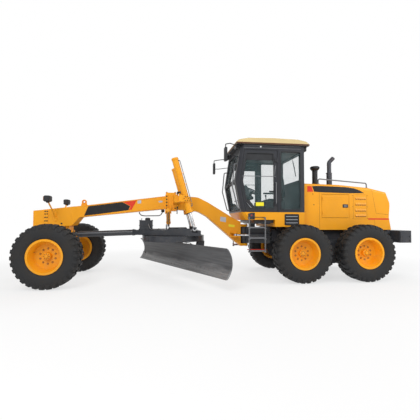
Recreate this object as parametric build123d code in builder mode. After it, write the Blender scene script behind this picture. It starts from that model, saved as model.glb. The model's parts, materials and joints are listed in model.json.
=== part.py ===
from build123d import *
import os
from math import cos, hypot, pi, radians, sin

# Motor grader at full size, in millimetres. +X points forward, +Y to the machine's left and +Z up.
# The origin is on the ground below the middle of the whole machine.

os.makedirs("parts", exist_ok=True)

# ---------------------------------------------------------------- driving dimensions
RUN = 0.3  # gap around pins, rods and balls that turn or slide
GAP = 8.0  # gap between a door or lid and its opening

FRONT_AXLE_X = 3870.0
TANDEM_X = -2349.0
TANDEM_PITCH = 1542.0
TRACK = 2156.0

TYRE_R = 660.0
TYRE_W = 445.0
RIM_R = 318.0
FLANGE_R = 357.0
FLANGE_HALF = 190.0
FLANGE_T = 14.0
DISC_INSET = 30.0  # rim disc centre, inboard of the wheel's middle plane

ARTIC_X = -480.0
ARTIC_PIN_R = 60.0
HITCH_LOW = 830.0
HITCH_HIGH = 1240.0

BEAM_HALF = 155.0
NOSE_HALF = 230.0
NOSE_X = 4540.0

KINGPIN_Y = 870.0
LEAN_PIN_Y = 640.0  # the lean bar's pins stand right above the lean pins, so the linkage is a parallelogram
LEAN_TOP_Z = 950.0
STEER_ARM_X = 150.0
STEER_ARM_Y = 40.0
TIE_GAP = 14.0  # under the steering arms, room for the wheels to lean over the rod
TIE_EYE_T = 32.0

BALL_BACK = 180.0  # drawbar's ball, behind the front axle
BALL_X = FRONT_AXLE_X - BALL_BACK
BALL_Z = 1060.0
BALL_R = 60.0
SOCKET_T = 60.0
DECK_LOW = 1045.0
DECK_HIGH = 1165.0

CIRCLE_X = 1320.0
CIRCLE_R = 765.0
CIRCLE_BORE_R = 640.0
CIRCLE_LOW = 900.0
CIRCLE_HIGH = 1035.0
FLANGE_LOW = 965.0  # underside of the circle's inner flange, which the drawbar's shoes hold
CIRCLE_WIDE_R = 672.0  # bore below the flange

BLADE_TURN = 28.2  # blade angle from square across the machine, in degrees
BLADE_LENGTH = 4270.0
BLADE_CHORD = 600.0
BLADE_CURVE_R = 413.0
BLADE_T = 20.0
BLADE_LOW = 250.0
BLADE_V = 10.0  # middle of the blade along its own length
RAIL_BACK = -170.0
RAIL_LOW_Z = 375.0
RAIL_HIGH_Z = 675.0
RAIL_H = 50.0
PITCH_U = -260.0
PITCH_Z = 420.0

LIFT_Y = 690.0
LIFT_R = 75.0
LIFT_ROD_R = 32.0
GIMBAL_X = 1040.0
GIMBAL_Z = 1900.0
LIFT_EYE_X = 840.0
LIFT_EYE_Z = 1200.0

CAB_HALF = 800.0
CAB_REAR = -1780.0
CAB_TOP = 3200.0
CAB_LOW = 1420.0
CAB_SILL = 1600.0
CAB_TAIL_LOW = 1257.0
CAB_WALL = 50.0
PILLAR_X = -1130.0
DOOR_T = 45.0

HOOD_HALF = 600.0
HOOD_WALL = 40.0
HOOD_LOW = 1180.0
ENGINE_FRONT = -2250.0
ENGINE_REAR = -3700.0
ENGINE_HALF = 300.0
ENGINE_TOP = 1950.0

WHEEL_Y = TRACK / 2
AXLE_Z = TYRE_R
MID_X = TANDEM_X + TANDEM_PITCH / 2
REAR_X = TANDEM_X - TANDEM_PITCH / 2

SIDES = (("left", 1), ("right", -1))


# ---------------------------------------------------------------- helpers
def at_y(y):
    """Side-view sketch plane at y: local x is forward, local y is up, extrudes towards the right."""
    return Plane.XZ.offset(-y)


def polygon(points):
    """One closed face through the points, added to the sketch being drawn."""
    Polygon(*points, align=None)


def rounded_polygon(outline):
    """One closed face through points given as (x, y, corner radius), added to the sketch being drawn."""
    with BuildSketch() as face:
        Polygon(*[(x, y) for x, y, _ in outline], align=None)
        for x, y, radius in outline:
            if radius:
                fillet(face.vertices().sort_by_distance((x, y, 0))[0], radius=radius)
    add(face.sketch)


def along(start, end):
    """Plane at start whose normal points at end, for a round bar between two places."""
    return Plane(origin=start, z_dir=Vector(*end) - Vector(*start))


def bar(start, end, radius, mode=Mode.ADD):
    """Round bar from start to end, added to the part being built."""
    length = (Vector(*end) - Vector(*start)).length
    with Locations(along(start, end).location):
        Cylinder(radius, length, align=(Align.CENTER, Align.CENTER, Align.MIN), mode=mode)


def bore(start, end, radius):
    """Round hole from start to end, cut from the part being built."""
    bar(start, end, radius, mode=Mode.SUBTRACT)


def tube_path(points, bend, radius):
    """Bent round tube along straight runs with rounded corners, added to the part being built."""
    with BuildLine() as path:
        FilletPolyline(*points, radius=bend)
    with BuildSketch(along(points[0], points[1])) as section:
        Circle(radius)
    sweep(section.sketch, path=path.line)


def slab(corner, opposite, mode=Mode.ADD):
    """Rectangular block between two opposite corners, added to the part being built."""
    size = [abs(b - a) for a, b in zip(corner, opposite)]
    with Locations((Vector(*corner) + Vector(*opposite)) / 2):
        Box(*size, mode=mode)


def save(part, name):
    part.label = name
    export_step(part, "parts/" + name + ".step")


# ---------------------------------------------------------------- wheels
# corner: name, axle x, side
WHEELS = (
    ("front_left", FRONT_AXLE_X, 1),
    ("front_right", FRONT_AXLE_X, -1),
    ("mid_left", MID_X, 1),
    ("mid_right", MID_X, -1),
    ("rear_left", REAR_X, 1),
    ("rear_right", REAR_X, -1),
)
DISC_T = 20.0
RIM_T = 16.0
HUB_R = 75.0
HUB_OUT = 66.0
TREAD_HALF = TYRE_W / 2
BEAD_HALF = FLANGE_HALF - FLANGE_T - 0.5

# Rim section as (radius, distance outboard of the wheel's middle plane).
RIM_SECTION = (
    (FLANGE_R, FLANGE_HALF),
    (FLANGE_R, FLANGE_HALF - FLANGE_T),
    (RIM_R, FLANGE_HALF - FLANGE_T),
    (RIM_R, -(FLANGE_HALF - FLANGE_T)),
    (FLANGE_R, -(FLANGE_HALF - FLANGE_T)),
    (FLANGE_R, -FLANGE_HALF),
    (RIM_R - RIM_T, -FLANGE_HALF),
    (RIM_R - RIM_T, -DISC_INSET - DISC_T),
    (0.0, -DISC_INSET),
    (0.0, HUB_OUT),
    (HUB_R - 12, HUB_OUT),
    (HUB_R, HUB_OUT - 12),
    (HUB_R + 8, -DISC_INSET + DISC_T),
    (RIM_R - RIM_T - 40, -DISC_INSET + DISC_T),
    (RIM_R - RIM_T, FLANGE_HALF - 40),
    (RIM_R - 4, FLANGE_HALF),
)
# Carcass section on one half as (radius, half width): bead, flank, shoulder and crown.
CARCASS_HALF = (
    (RIM_R + 0.5, BEAD_HALF),
    (FLANGE_R + 8, BEAD_HALF),
    (FLANGE_R + 90, TREAD_HALF - 4),
    (TYRE_R - 98, TREAD_HALF - 4),
    (TYRE_R - 27, TREAD_HALF - 62),
)
LUG_COUNT = 30  # on each half of the tread, the two halves half a pitch apart
LUG_PITCH = 2 * pi * TYRE_R / LUG_COUNT
LUG_REACH = 0.56  # in pitches, from a lug's middle to its farthest corner
# Lug seen from outside as (distance from the tread's middle, rear edge, front edge), edges in pitches.
LUG_PLAN = (
    (10.0, -0.26, 0.22),
    (85.0, 0.02, LUG_REACH),
    (TREAD_HALF + 5, -0.18, 0.46),
)
# Lugs have flat tops, whose farthest corners reach the tyre's radius.
LUG_HIGH = (TYRE_R**2 - (LUG_REACH * LUG_PITCH) ** 2) ** 0.5
# Section across the lugs on one half as (height over the axle, half width).
LUG_SECTION = (
    (LUG_HIGH, 0.0),
    (LUG_HIGH, TREAD_HALF - 38),
    (TYRE_R - 46, TREAD_HALF),
    (TYRE_R - 104, TREAD_HALF - 12),
    (TYRE_R - 104, 0.0),
)


def wheel_plane(x, side):
    """Half-section plane of a wheel: local x is the radius, local y is outboard along the axle."""
    return Plane(origin=(x, side * WHEEL_Y, AXLE_Z), x_dir=(0, 0, 1), z_dir=(side, 0, 0))


for corner, axle_x, side in WHEELS:
    axle = Axis((axle_x, side * WHEEL_Y, AXLE_Z), (0, 1, 0))
    outboard = 1 if wheel_plane(axle_x, side).y_dir.Y * side > 0 else -1
    with BuildPart() as rim:
        with BuildSketch(wheel_plane(axle_x, side)):
            polygon([(r, outboard * y) for r, y in RIM_SECTION])
        revolve(axis=axle)
    save(rim.part, "rim_" + corner)

# A tyre about the Z axis for each side of the machine: the lugs lean forward at the top on both.
tyres = {}
for _, side in SIDES:
    with BuildPart() as lug_band:
        with BuildSketch(Plane.XZ):
            polygon(list(LUG_SECTION) + [(r, -z) for r, z in reversed(LUG_SECTION) if z > 0])
        extrude(amount=LUG_PITCH, both=True)
    with BuildPart() as tyre:
        with BuildSketch(Plane.XZ):
            polygon(list(CARCASS_HALF) + [(r, -z) for r, z in reversed(CARCASS_HALF)])
        revolve(axis=Axis.Z)
        for half in (1, -1):
            with BuildPart(mode=Mode.PRIVATE) as lug:
                with BuildSketch(Plane.YZ.offset(TYRE_R / 2)):
                    rear = [(side * share * LUG_PITCH, half * z) for z, share, _ in LUG_PLAN]
                    front = [(side * share * LUG_PITCH, half * z) for z, _, share in reversed(LUG_PLAN)]
                    polygon(rear + front)
                extrude(amount=TYRE_R / 2)
                add(lug_band.part, mode=Mode.INTERSECT)
            with PolarLocations(0, LUG_COUNT, start_angle=0 if half > 0 else 180 / LUG_COUNT):
                add(lug.part)
    tyres[side] = tyre.part

for corner, axle_x, side in WHEELS:
    wheel = Plane(origin=(axle_x, side * WHEEL_Y, AXLE_Z), x_dir=(1, 0, 0), z_dir=(0, side, 0))
    with BuildPart() as tyre:
        with Locations(wheel.location):
            add(tyres[side])
    save(tyre.part, "tyre_" + corner)

# ---------------------------------------------------------------- rear frame
RAIL_OUT = 430.0
RAIL_IN = 350.0
RAIL_Z = 900.0
FRAME_REAR = -4180.0
CROSS_X = -1110.0
HOUSING_R = 100.0
CYL_PIVOT_X = -1050.0
CYL_PIVOT_Y = 360.0
CYL_Z = 1050.0
CYL_EYE_X = -200.0
CYL_EYE_Y = 330.0
CLEVIS_T = 25.0
EYE_H = 40.0
CLEVIS_GAP = 12.0
OUTRIGGER_X = (-1950.0, -3450.0, -4110.0)

with BuildPart() as rear_frame:
    # Two rails behind a cross-member, with a tapering hitch block in front.
    for _, side in SIDES:
        slab((FRAME_REAR, side * RAIL_IN, RAIL_Z), (CROSS_X, side * RAIL_OUT, HOOD_LOW))
    slab((CROSS_X - 100, -RAIL_OUT, RAIL_Z), (CROSS_X, RAIL_OUT, HOOD_LOW))
    with BuildSketch(Plane.XY.offset(HITCH_LOW)):
        polygon([(CROSS_X, -250), (-620, -90), (ARTIC_X, -90), (ARTIC_X, 90), (-620, 90), (CROSS_X, 250)])
        with Locations((ARTIC_X, 0)):
            Circle(HOUSING_R)
    extrude(amount=HITCH_HIGH - HITCH_LOW)
    # Posts under the cab, then outriggers and floor bars under the hood.
    slab((-760, -100, HITCH_HIGH), (-640, 100, CAB_LOW))
    for x in (-1300.0, -1700.0):
        for _, side in SIDES:
            with Locations((x, side * (RAIL_IN + RAIL_OUT) / 2, (HOOD_LOW + CAB_TAIL_LOW) / 2)):
                Box(120, RAIL_OUT - RAIL_IN, CAB_TAIL_LOW - HOOD_LOW)
    for x in OUTRIGGER_X:
        for _, side in SIDES:
            slab((x - 50, side * RAIL_IN, HOOD_LOW - 100), (x + 50, side * HOOD_HALF, HOOD_LOW))
    slab((TANDEM_X - 150, -RAIL_OUT, RAIL_Z), (TANDEM_X + 150, RAIL_OUT, RAIL_Z + 60))
    slab((-3650, -RAIL_OUT, RAIL_Z), (-3550, RAIL_OUT, RAIL_Z + 60))
    # Clevises that hold the articulation cylinders.
    for _, side in SIDES:
        for low in (CYL_Z - EYE_H / 2 - CLEVIS_GAP - CLEVIS_T, CYL_Z + EYE_H / 2 + CLEVIS_GAP):
            with BuildSketch(Plane.XY.offset(low)):
                with Locations((CYL_PIVOT_X, side * CYL_PIVOT_Y)):
                    Circle(42)
                with Locations(((CYL_PIVOT_X + CROSS_X) / 2, side * CYL_PIVOT_Y)):
                    Rectangle(CYL_PIVOT_X - CROSS_X, 84)
            extrude(amount=CLEVIS_T)
    bore((ARTIC_X, 0, HITCH_LOW), (ARTIC_X, 0, HITCH_HIGH), ARTIC_PIN_R + RUN)
save(rear_frame.part, "rear_frame")

# ---------------------------------------------------------------- rear axle with tandem cases
CASE_HALF_H = 270.0
CASE_IN = 610.0
CASE_OUT = 800.0
SPINDLE_R = 120.0

with BuildPart() as rear_axle:
    bar((TANDEM_X, -CASE_IN, AXLE_Z), (TANDEM_X, CASE_IN, AXLE_Z), 150)
    bar((TANDEM_X, -150, AXLE_Z), (TANDEM_X, 150, AXLE_Z), 235)
    for _, side in SIDES:
        bar((TANDEM_X, side * (CASE_IN - 120), AXLE_Z), (TANDEM_X, side * CASE_IN, AXLE_Z), 210)
        with BuildSketch(at_y(side * CASE_IN)):
            with Locations((TANDEM_X, AXLE_Z)):
                SlotCenterToCenter(TANDEM_PITCH, 2 * CASE_HALF_H)
        extrude(amount=-side * (CASE_OUT - CASE_IN))
        for x in (MID_X, REAR_X):
            bar((x, side * CASE_OUT, AXLE_Z), (x, side * (WHEEL_Y - DISC_INSET - DISC_T - 6), AXLE_Z), SPINDLE_R)
    # Pads that carry the frame rails.
    for _, side in SIDES:
        with Locations((TANDEM_X, side * (RAIL_IN + RAIL_OUT) / 2, (AXLE_Z + RAIL_Z) / 2)):
            Box(260, RAIL_OUT - RAIL_IN, RAIL_Z - AXLE_Z)
save(rear_axle.part, "rear_axle")

# ---------------------------------------------------------------- engine, hood and their doors
with BuildPart() as engine:
    slab((ENGINE_REAR, -ENGINE_HALF, RAIL_Z + 60), (ENGINE_FRONT, ENGINE_HALF, ENGINE_TOP))
save(engine.part, "engine")

# Hood side profile: front foot, roof line falling to the rear, rounded tail.
HOOD_FRONT = -1830.0
HOOD_TAIL = -4185.0
HOOD_TOP = 2330.0
HOOD_PROFILE = (
    (HOOD_FRONT, HOOD_LOW),
    (HOOD_FRONT, HOOD_TOP),
    (-2810, HOOD_TOP - 20),
    (-3600, HOOD_TOP - 84),
    (HOOD_TAIL + 105, HOOD_TOP - 190),
    (HOOD_TAIL + 20, HOOD_TOP - 400),
    (HOOD_TAIL + 55, HOOD_LOW + 310),
    (HOOD_TAIL, HOOD_LOW),
)
ENGINE_DOOR_FRONT = -2320.0
ENGINE_DOOR_REAR = -3050.0
ENGINE_DOOR_LOW = 1475.0
ENGINE_DOOR_HIGH = 2067.0
# Pressed louvres behind each engine door: pockets in the panel, each under a slanting hood.
LOUVRE_X = (-3508.0, -3215.0)
LOUVRE_TOPS = (2005.0, 1860.0, 1706.0, 1570.0)
LOUVRE_COLUMNS = 5
LOUVRE_H = 65.0
LOUVRE_OUT = 14.0
LOUVRE_DEEP = 18.0
LOUVRE_PITCH = (LOUVRE_X[1] - LOUVRE_X[0]) / LOUVRE_COLUMNS
# Radiator grille in the tail: a field of slots, each side of a middle post.
GRILLE_LOW = 1290.0
GRILLE_HIGH = 1850.0
GRILLE_ROWS = 12
GRILLE_HALF = 470.0
GRILLE_POST = 30.0

with BuildPart() as hood:
    with BuildSketch(at_y(0)):
        polygon(HOOD_PROFILE)
    extrude(amount=HOOD_HALF, both=True)
    top_edges = hood.edges().filter_by(Axis.Y, reverse=True)
    top_edges = top_edges.filter_by(lambda e: min(v.Z for v in e.vertices()) > 1900)
    top_edges = top_edges.filter_by(lambda e: abs(e.center().Y) > HOOD_HALF - 1)
    fillet(top_edges, radius=70)
    # Hollow inside, open at the foot.
    with BuildSketch(at_y(0)):
        with BuildSketch() as inner:
            Polygon(*HOOD_PROFILE, align=None)
            offset(amount=-HOOD_WALL, kind=Kind.INTERSECTION)
        add(inner.sketch)
    extrude(amount=HOOD_HALF - HOOD_WALL, both=True, mode=Mode.SUBTRACT)
    slab((HOOD_FRONT - HOOD_WALL, -HOOD_HALF + HOOD_WALL, HOOD_LOW),
         (HOOD_TAIL + 2 * HOOD_WALL, HOOD_HALF - HOOD_WALL, HOOD_LOW + 2 * HOOD_WALL), mode=Mode.SUBTRACT)
    for _, side in SIDES:
        with BuildSketch(at_y(side * HOOD_HALF)):
            with Locations(((ENGINE_DOOR_FRONT + ENGINE_DOOR_REAR) / 2, (ENGINE_DOOR_LOW + ENGINE_DOOR_HIGH) / 2)):
                Rectangle(ENGINE_DOOR_FRONT - ENGINE_DOOR_REAR, ENGINE_DOOR_HIGH - ENGINE_DOOR_LOW)
        extrude(amount=side * HOOD_WALL * 1.5, mode=Mode.SUBTRACT)
        # Louvres in rows: the pocket first, then the slanting hood over it.
        louvre_x = [LOUVRE_X[0] + (i + 0.5) * LOUVRE_PITCH for i in range(LOUVRE_COLUMNS)]
        with BuildSketch(at_y(side * HOOD_HALF)):
            with Locations(*[(x, top - LOUVRE_H / 2) for x in louvre_x for top in LOUVRE_TOPS]):
                Rectangle(LOUVRE_PITCH - 12, LOUVRE_H - 10)
        extrude(amount=side * LOUVRE_DEEP, mode=Mode.SUBTRACT)
        for x in louvre_x:
            with BuildSketch(Plane.YZ.offset(x - (LOUVRE_PITCH - 8) / 2)):
                for top in LOUVRE_TOPS:
                    polygon([(side * (HOOD_HALF - LOUVRE_DEEP / 2), top), (side * (HOOD_HALF + 1), top),
                             (side * (HOOD_HALF + LOUVRE_OUT), top - LOUVRE_H * 0.7),
                             (side * (HOOD_HALF + LOUVRE_OUT - 6), top - LOUVRE_H * 0.7),
                             (side * (HOOD_HALF - LOUVRE_DEEP / 2), top - 12)])
            extrude(amount=LOUVRE_PITCH - 8)
    # Grille slots in the tail.
    grille_pitch = (GRILLE_HIGH - GRILLE_LOW) / GRILLE_ROWS
    grille_width = GRILLE_HALF - GRILLE_POST
    with BuildSketch(Plane.YZ.offset(HOOD_TAIL - 5)):
        for _, side in SIDES:
            with Locations(*[(side * (GRILLE_HALF + GRILLE_POST) / 2, GRILLE_LOW + (i + 0.5) * grille_pitch)
                             for i in range(GRILLE_ROWS)]):
                Rectangle(grille_width, grille_pitch * 0.55)
    extrude(amount=55 + HOOD_WALL / 2, mode=Mode.SUBTRACT)
save(hood.part, "hood")

for name, side in SIDES:
    with BuildPart() as engine_door:
        with BuildSketch(at_y(side * HOOD_HALF)):
            with Locations(((ENGINE_DOOR_FRONT + ENGINE_DOOR_REAR) / 2, (ENGINE_DOOR_LOW + ENGINE_DOOR_HIGH) / 2)):
                Rectangle(ENGINE_DOOR_FRONT - ENGINE_DOOR_REAR - 2 * GAP,
                          ENGINE_DOOR_HIGH - ENGINE_DOOR_LOW - 2 * GAP)
        extrude(amount=side * 30)
        # Hinge knuckles stand just outside the panel.
        for z in (ENGINE_DOOR_LOW + 110, ENGINE_DOOR_HIGH - 110):
            bar((ENGINE_DOOR_FRONT - GAP - 12, side * (HOOD_HALF + 8), z - 40),
                (ENGINE_DOOR_FRONT - GAP - 12, side * (HOOD_HALF + 8), z + 40), 12)
    save(engine_door.part, "engine_door_" + name)

# ---------------------------------------------------------------- rear ballast and stacks
BALLAST_LOW = 870.0
BALLAST_HIGH = 1165.0
BALLAST_REAR = -4540.0
TOW_PIN_X = -4490.0
with BuildPart() as rear_ballast:
    with BuildSketch(Plane.XY.offset(BALLAST_LOW)):
        polygon([(FRAME_REAR, -900), (BALLAST_REAR + 60, -900), (BALLAST_REAR, -840),
                 (BALLAST_REAR, 840), (BALLAST_REAR + 60, 900), (FRAME_REAR, 900)])
    extrude(amount=BALLAST_HIGH - BALLAST_LOW)
    with Locations((BALLAST_REAR + 60, 0, (BALLAST_LOW + BALLAST_HIGH) / 2)):
        Box(120, 180, 90, mode=Mode.SUBTRACT)
    bore((TOW_PIN_X, 0, BALLAST_LOW), (TOW_PIN_X, 0, BALLAST_HIGH), 20)
save(rear_ballast.part, "rear_ballast")

EXHAUST_X = -2860.0
EXHAUST_R = 55.0
EXHAUST_TOP = HOOD_TOP + 780.0
with BuildPart() as exhaust:
    tube_path([(EXHAUST_X, 0, HOOD_TOP - 40), (EXHAUST_X, 0, EXHAUST_TOP - 120),
               (EXHAUST_X - 120, 0, EXHAUST_TOP)], 90, EXHAUST_R)
    bar((EXHAUST_X, 0, HOOD_TOP - 40), (EXHAUST_X, 0, HOOD_TOP + 370), EXHAUST_R + 15)
    add(hood.part, mode=Mode.SUBTRACT)
save(exhaust.part, "exhaust")

# Bowl of the precleaner as (radius, height over its stem).
PRECLEANER_X = -2450.0
PRECLEANER_R = 70.0
BOWL_Z = HOOD_TOP + 430.0
BOWL_SECTION = ((0, 0), (85, 0), (120, 40), (120, 90), (95, 105), (0, 105))
with BuildPart() as precleaner:
    bar((PRECLEANER_X, 0, HOOD_TOP - 30), (PRECLEANER_X, 0, BOWL_Z), PRECLEANER_R)
    with BuildSketch(at_y(0)):
        polygon([(PRECLEANER_X + r, BOWL_Z + z) for r, z in BOWL_SECTION])
    revolve(axis=Axis((PRECLEANER_X, 0, 0), (0, 0, 1)))
    add(hood.part, mode=Mode.SUBTRACT)
save(precleaner.part, "precleaner")

# ---------------------------------------------------------------- cab
# Front of the cab in side view, from the foot to the roof.
BELT_Z = 2330.0  # height of the windscreen's foremost line
FRONT_LINE = ((-370.0, CAB_LOW), (-250.0, CAB_SILL), (-110.0, BELT_Z), (-242.0, CAB_TOP))
CORNER_CUT = 60.0
FLOOR_Z = 1480.0
CEILING_Z = CAB_TOP - 120
WINDOW_HALF = 600.0
WAIST_BAR = 30.0


def front_x(z, inset=0.0):
    """Forward position of the cab's front at height z, moved back by inset."""
    for (x0, z0), (x1, z1) in zip(FRONT_LINE, FRONT_LINE[1:]):
        if z0 <= z <= z1:
            return x0 + (x1 - x0) * (z - z0) / (z1 - z0) - inset
    return FRONT_LINE[-1][0] - inset


def front_points(low, high, inset):
    """Points of the cab's front line between two heights, moved back by inset, from low to high."""
    heights = [low] + [z for _, z in FRONT_LINE if low < z < high] + [high]
    return [(front_x(z, inset), z) for z in heights]


# The whole shell first; it is parted at the sill into a painted base and the glazed frame on it.
with BuildPart() as cab_shell:
    with BuildSketch(at_y(0)):
        polygon(list(FRONT_LINE) + [(CAB_REAR, CAB_TOP), (CAB_REAR, CAB_TAIL_LOW),
                                    (-1050, CAB_TAIL_LOW), (-1050, CAB_LOW)])
    extrude(amount=CAB_HALF, both=True)
    corner_edges = cab_shell.edges().filter_by(lambda e: abs(e.center().Y) > CAB_HALF - 1)
    corner_edges = corner_edges.filter_by(lambda e: e.center().X > -400 and e.length < 900 and e.length > 100)
    corner_edges = corner_edges.filter_by(lambda e: CAB_LOW + 20 < e.center().Z < CAB_TOP - 20)
    chamfer(corner_edges, length=CORNER_CUT)
    # Inside of the cab.
    with BuildSketch(at_y(0)):
        polygon(front_points(FLOOR_Z, CEILING_Z, CAB_WALL + 12)
                + [(CAB_REAR + CAB_WALL, CEILING_Z), (CAB_REAR + CAB_WALL, FLOOR_Z)])
    extrude(amount=CAB_HALF - CAB_WALL, both=True, mode=Mode.SUBTRACT)
    # Windscreen panes, above and below the waist bar.
    for low, high in ((CAB_SILL + 40, BELT_Z - WAIST_BAR), (BELT_Z + WAIST_BAR, CEILING_Z - 20)):
        slab((-450, -WINDOW_HALF, low), (0, WINDOW_HALF, high), mode=Mode.SUBTRACT)
    # Door openings and rear quarter windows.
    for _, side in SIDES:
        with BuildSketch(at_y(side * (CAB_HALF + 1))):
            polygon(front_points(CAB_SILL, CEILING_Z, CORNER_CUT + 30)
                    + [(PILLAR_X, CEILING_Z), (PILLAR_X, CAB_SILL)])
            with Locations(((PILLAR_X - 60 + CAB_REAR + 90) / 2, (CAB_SILL + 60 + CEILING_Z - 30) / 2)):
                Rectangle(PILLAR_X - 60 - CAB_REAR - 90, CEILING_Z - CAB_SILL - 90)
        extrude(amount=side * (CAB_WALL + 2), mode=Mode.SUBTRACT)
    # Rear window.
    with BuildSketch(Plane.YZ.offset(CAB_REAR - 1)):
        with Locations((0, CEILING_Z - 360)):
            Rectangle(2 * WINDOW_HALF, 640)
    extrude(amount=CAB_WALL + 2, mode=Mode.SUBTRACT)

with BuildPart() as cab_base:
    add(cab_shell.part)
    split(bisect_by=Plane.XY.offset(CAB_SILL), keep=Keep.BOTTOM)
save(cab_base.part, "cab_base")

with BuildPart() as cab:
    add(cab_shell.part)
    split(bisect_by=Plane.XY.offset(CAB_SILL), keep=Keep.TOP)
save(cab.part, "cab")

ROOF_FRONT = -120.0
ROOF_REAR = CAB_REAR - 120
ROOF_HALF = CAB_HALF + 50
# Roof cap in side view as (distance in from either end, height over the cab): rim, shoulder, crown.
ROOF_CROWN = 160.0
ROOF_EDGE = ((0, 0), (0, 50), (70, 105), (280, ROOF_CROWN - 14))
with BuildPart() as cab_roof:
    with BuildSketch(at_y(0)):
        front = [(ROOF_FRONT - x, CAB_TOP + z) for x, z in ROOF_EDGE]
        rear = [(ROOF_REAR + x, CAB_TOP + z) for x, z in reversed(ROOF_EDGE)]
        polygon(front + [((ROOF_FRONT + ROOF_REAR) / 2, CAB_TOP + ROOF_CROWN)] + rear)
    extrude(amount=ROOF_HALF, both=True)
    roof_edges = cab_roof.edges().filter_by(lambda e: abs(e.center().Y) > ROOF_HALF - 1)
    roof_edges = roof_edges.filter_by(lambda e: e.center().Z > CAB_TOP + 60)
    fillet(roof_edges, radius=45)
save(cab_roof.part, "cab_roof")

GLASS_T = 8.0
with BuildPart() as cab_glass:
    for low, high in ((CAB_SILL + 40, BELT_Z - WAIST_BAR), (BELT_Z + WAIST_BAR, CEILING_Z - 20)):
        with BuildSketch(at_y(0)):
            polygon(front_points(low, high, 20) + list(reversed(front_points(low, high, 20 + GLASS_T))))
        extrude(amount=WINDOW_HALF, both=True)
    for _, side in SIDES:
        with BuildSketch(at_y(side * (CAB_HALF - 20))):
            with Locations(((PILLAR_X - 60 + CAB_REAR + 90) / 2, (CAB_SILL + 60 + CEILING_Z - 30) / 2)):
                Rectangle(PILLAR_X - 60 - CAB_REAR - 90, CEILING_Z - CAB_SILL - 90)
        extrude(amount=side * GLASS_T)
    with BuildSketch(Plane.YZ.offset(CAB_REAR + 20)):
        with Locations((0, CEILING_Z - 360)):
            Rectangle(2 * WINDOW_HALF, 640)
    extrude(amount=GLASS_T)
save(cab_glass.part, "cab_glass")

DOOR_FRAME = 75.0
HINGE_Y = CAB_HALF + 14
for name, side in SIDES:
    with BuildPart() as cab_door:
        with BuildSketch(at_y(side * (CAB_HALF - 2))):
            polygon(front_points(CAB_SILL + GAP, CEILING_Z - GAP, CORNER_CUT + 30 + GAP)
                    + [(PILLAR_X + GAP, CEILING_Z - GAP), (PILLAR_X + GAP, CAB_SILL + GAP)])
            polygon_low = CAB_SILL + GAP + DOOR_FRAME
            polygon_high = CEILING_Z - GAP - DOOR_FRAME
        extrude(amount=side * DOOR_T)
        with BuildSketch(at_y(side * CAB_HALF)):
            polygon(front_points(polygon_low, polygon_high, CORNER_CUT + 30 + GAP + 60)
                    + [(PILLAR_X + GAP + DOOR_FRAME + 20, polygon_high), (PILLAR_X + GAP + DOOR_FRAME + 20, polygon_low)])
        extrude(amount=side * (DOOR_T + 4), mode=Mode.SUBTRACT)
        for z in (CAB_SILL + 200, CEILING_Z - 250):
            bar((PILLAR_X + GAP + 14, side * HINGE_Y, z - 50), (PILLAR_X + GAP + 14, side * HINGE_Y, z + 50), 14)
            slab((PILLAR_X + GAP + 6, min(side * (CAB_HALF - 4), side * HINGE_Y), z - 50),
                 (PILLAR_X + GAP + 70, max(side * (CAB_HALF - 4), side * HINGE_Y), z + 50))
    save(cab_door.part, "cab_door_" + name)

    with BuildPart() as door_glass:
        with BuildSketch(at_y(side * (CAB_HALF - 18))):
            polygon(front_points(polygon_low, polygon_high, CORNER_CUT + 30 + GAP + 60)
                    + [(PILLAR_X + GAP + DOOR_FRAME + 20, polygon_high), (PILLAR_X + GAP + DOOR_FRAME + 20, polygon_low)])
        extrude(amount=side * GLASS_T)
    save(door_glass.part, "door_glass_" + name)

# ---------------------------------------------------------------- cab inside
with BuildPart() as seat:
    slab((-1420, -170, FLOOR_Z), (-1080, 170, 1800))
    slab((-1500, -270, 1800), (-980, 270, 1960))
    with BuildSketch(at_y(0)):
        polygon([(-1500, 1960), (-1360, 1960), (-1420, 2560), (-1450, 2740), (-1540, 2740), (-1560, 2500)])
    extrude(amount=235, both=True)
save(seat.part, "seat")

with BuildPart() as console:
    with BuildSketch(at_y(0)):
        polygon([(-560, FLOOR_Z), (-420, FLOOR_Z), (-480, 2000), (-600, 2080), (-680, 2040), (-620, 1960)])
    extrude(amount=130, both=True)
    with BuildSketch(Plane(origin=(-700, 0, 2160), z_dir=(-0.45, 0, 0.89))):
        Circle(200)
        Circle(172, mode=Mode.SUBTRACT)
        Rectangle(380, 30)
        Circle(45)
    extrude(amount=22)
    bar((-640, 0, 2040), (-700, 0, 2165), 32)
save(console.part, "console")

# ---------------------------------------------------------------- steps, rails, mirrors, lamps
RAIL_Y = 700.0
LADDER_Y = CAB_HALF + 100
LADDER_X = (-400.0, -780.0)
TREAD_Z = (705.0, 1000.0, 1240.0)
with BuildPart() as steps_and_rails:
    for _, side in SIDES:
        # Grab rails in front of the cab.
        tube_path([(-260, side * RAIL_Y, 1690), (-180, side * RAIL_Y, 1690), (-45, side * RAIL_Y, 2200),
                   (-95, side * RAIL_Y, 2740), (-215, side * RAIL_Y, 2760)], 40, 15)
        # Rails along the hood top.
        tube_path([(-2290, side * 490, HOOD_TOP - 30), (-2290, side * 490, HOOD_TOP + 130),
                   (-3600, side * 490, HOOD_TOP + 40), (-3600, side * 490, HOOD_TOP - 104)], 45, 15)
        # Ladder below the cab.
        for x in LADDER_X:
            bar((x, side * LADDER_Y, TREAD_Z[0] - 15), (x, side * LADDER_Y, FLOOR_Z), 15)
            bar((x, side * LADDER_Y, FLOOR_Z - 20), (x, side * (CAB_HALF - 10), FLOOR_Z - 20), 12)
        for z in TREAD_Z:
            slab((LADDER_X[1], side * LADDER_Y - 30, z - 12), (LADDER_X[0], side * LADDER_Y + 30, z + 12))
    add(cab_shell.part, mode=Mode.SUBTRACT)
    add(hood.part, mode=Mode.SUBTRACT)
save(steps_and_rails.part, "steps_and_rails")

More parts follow.
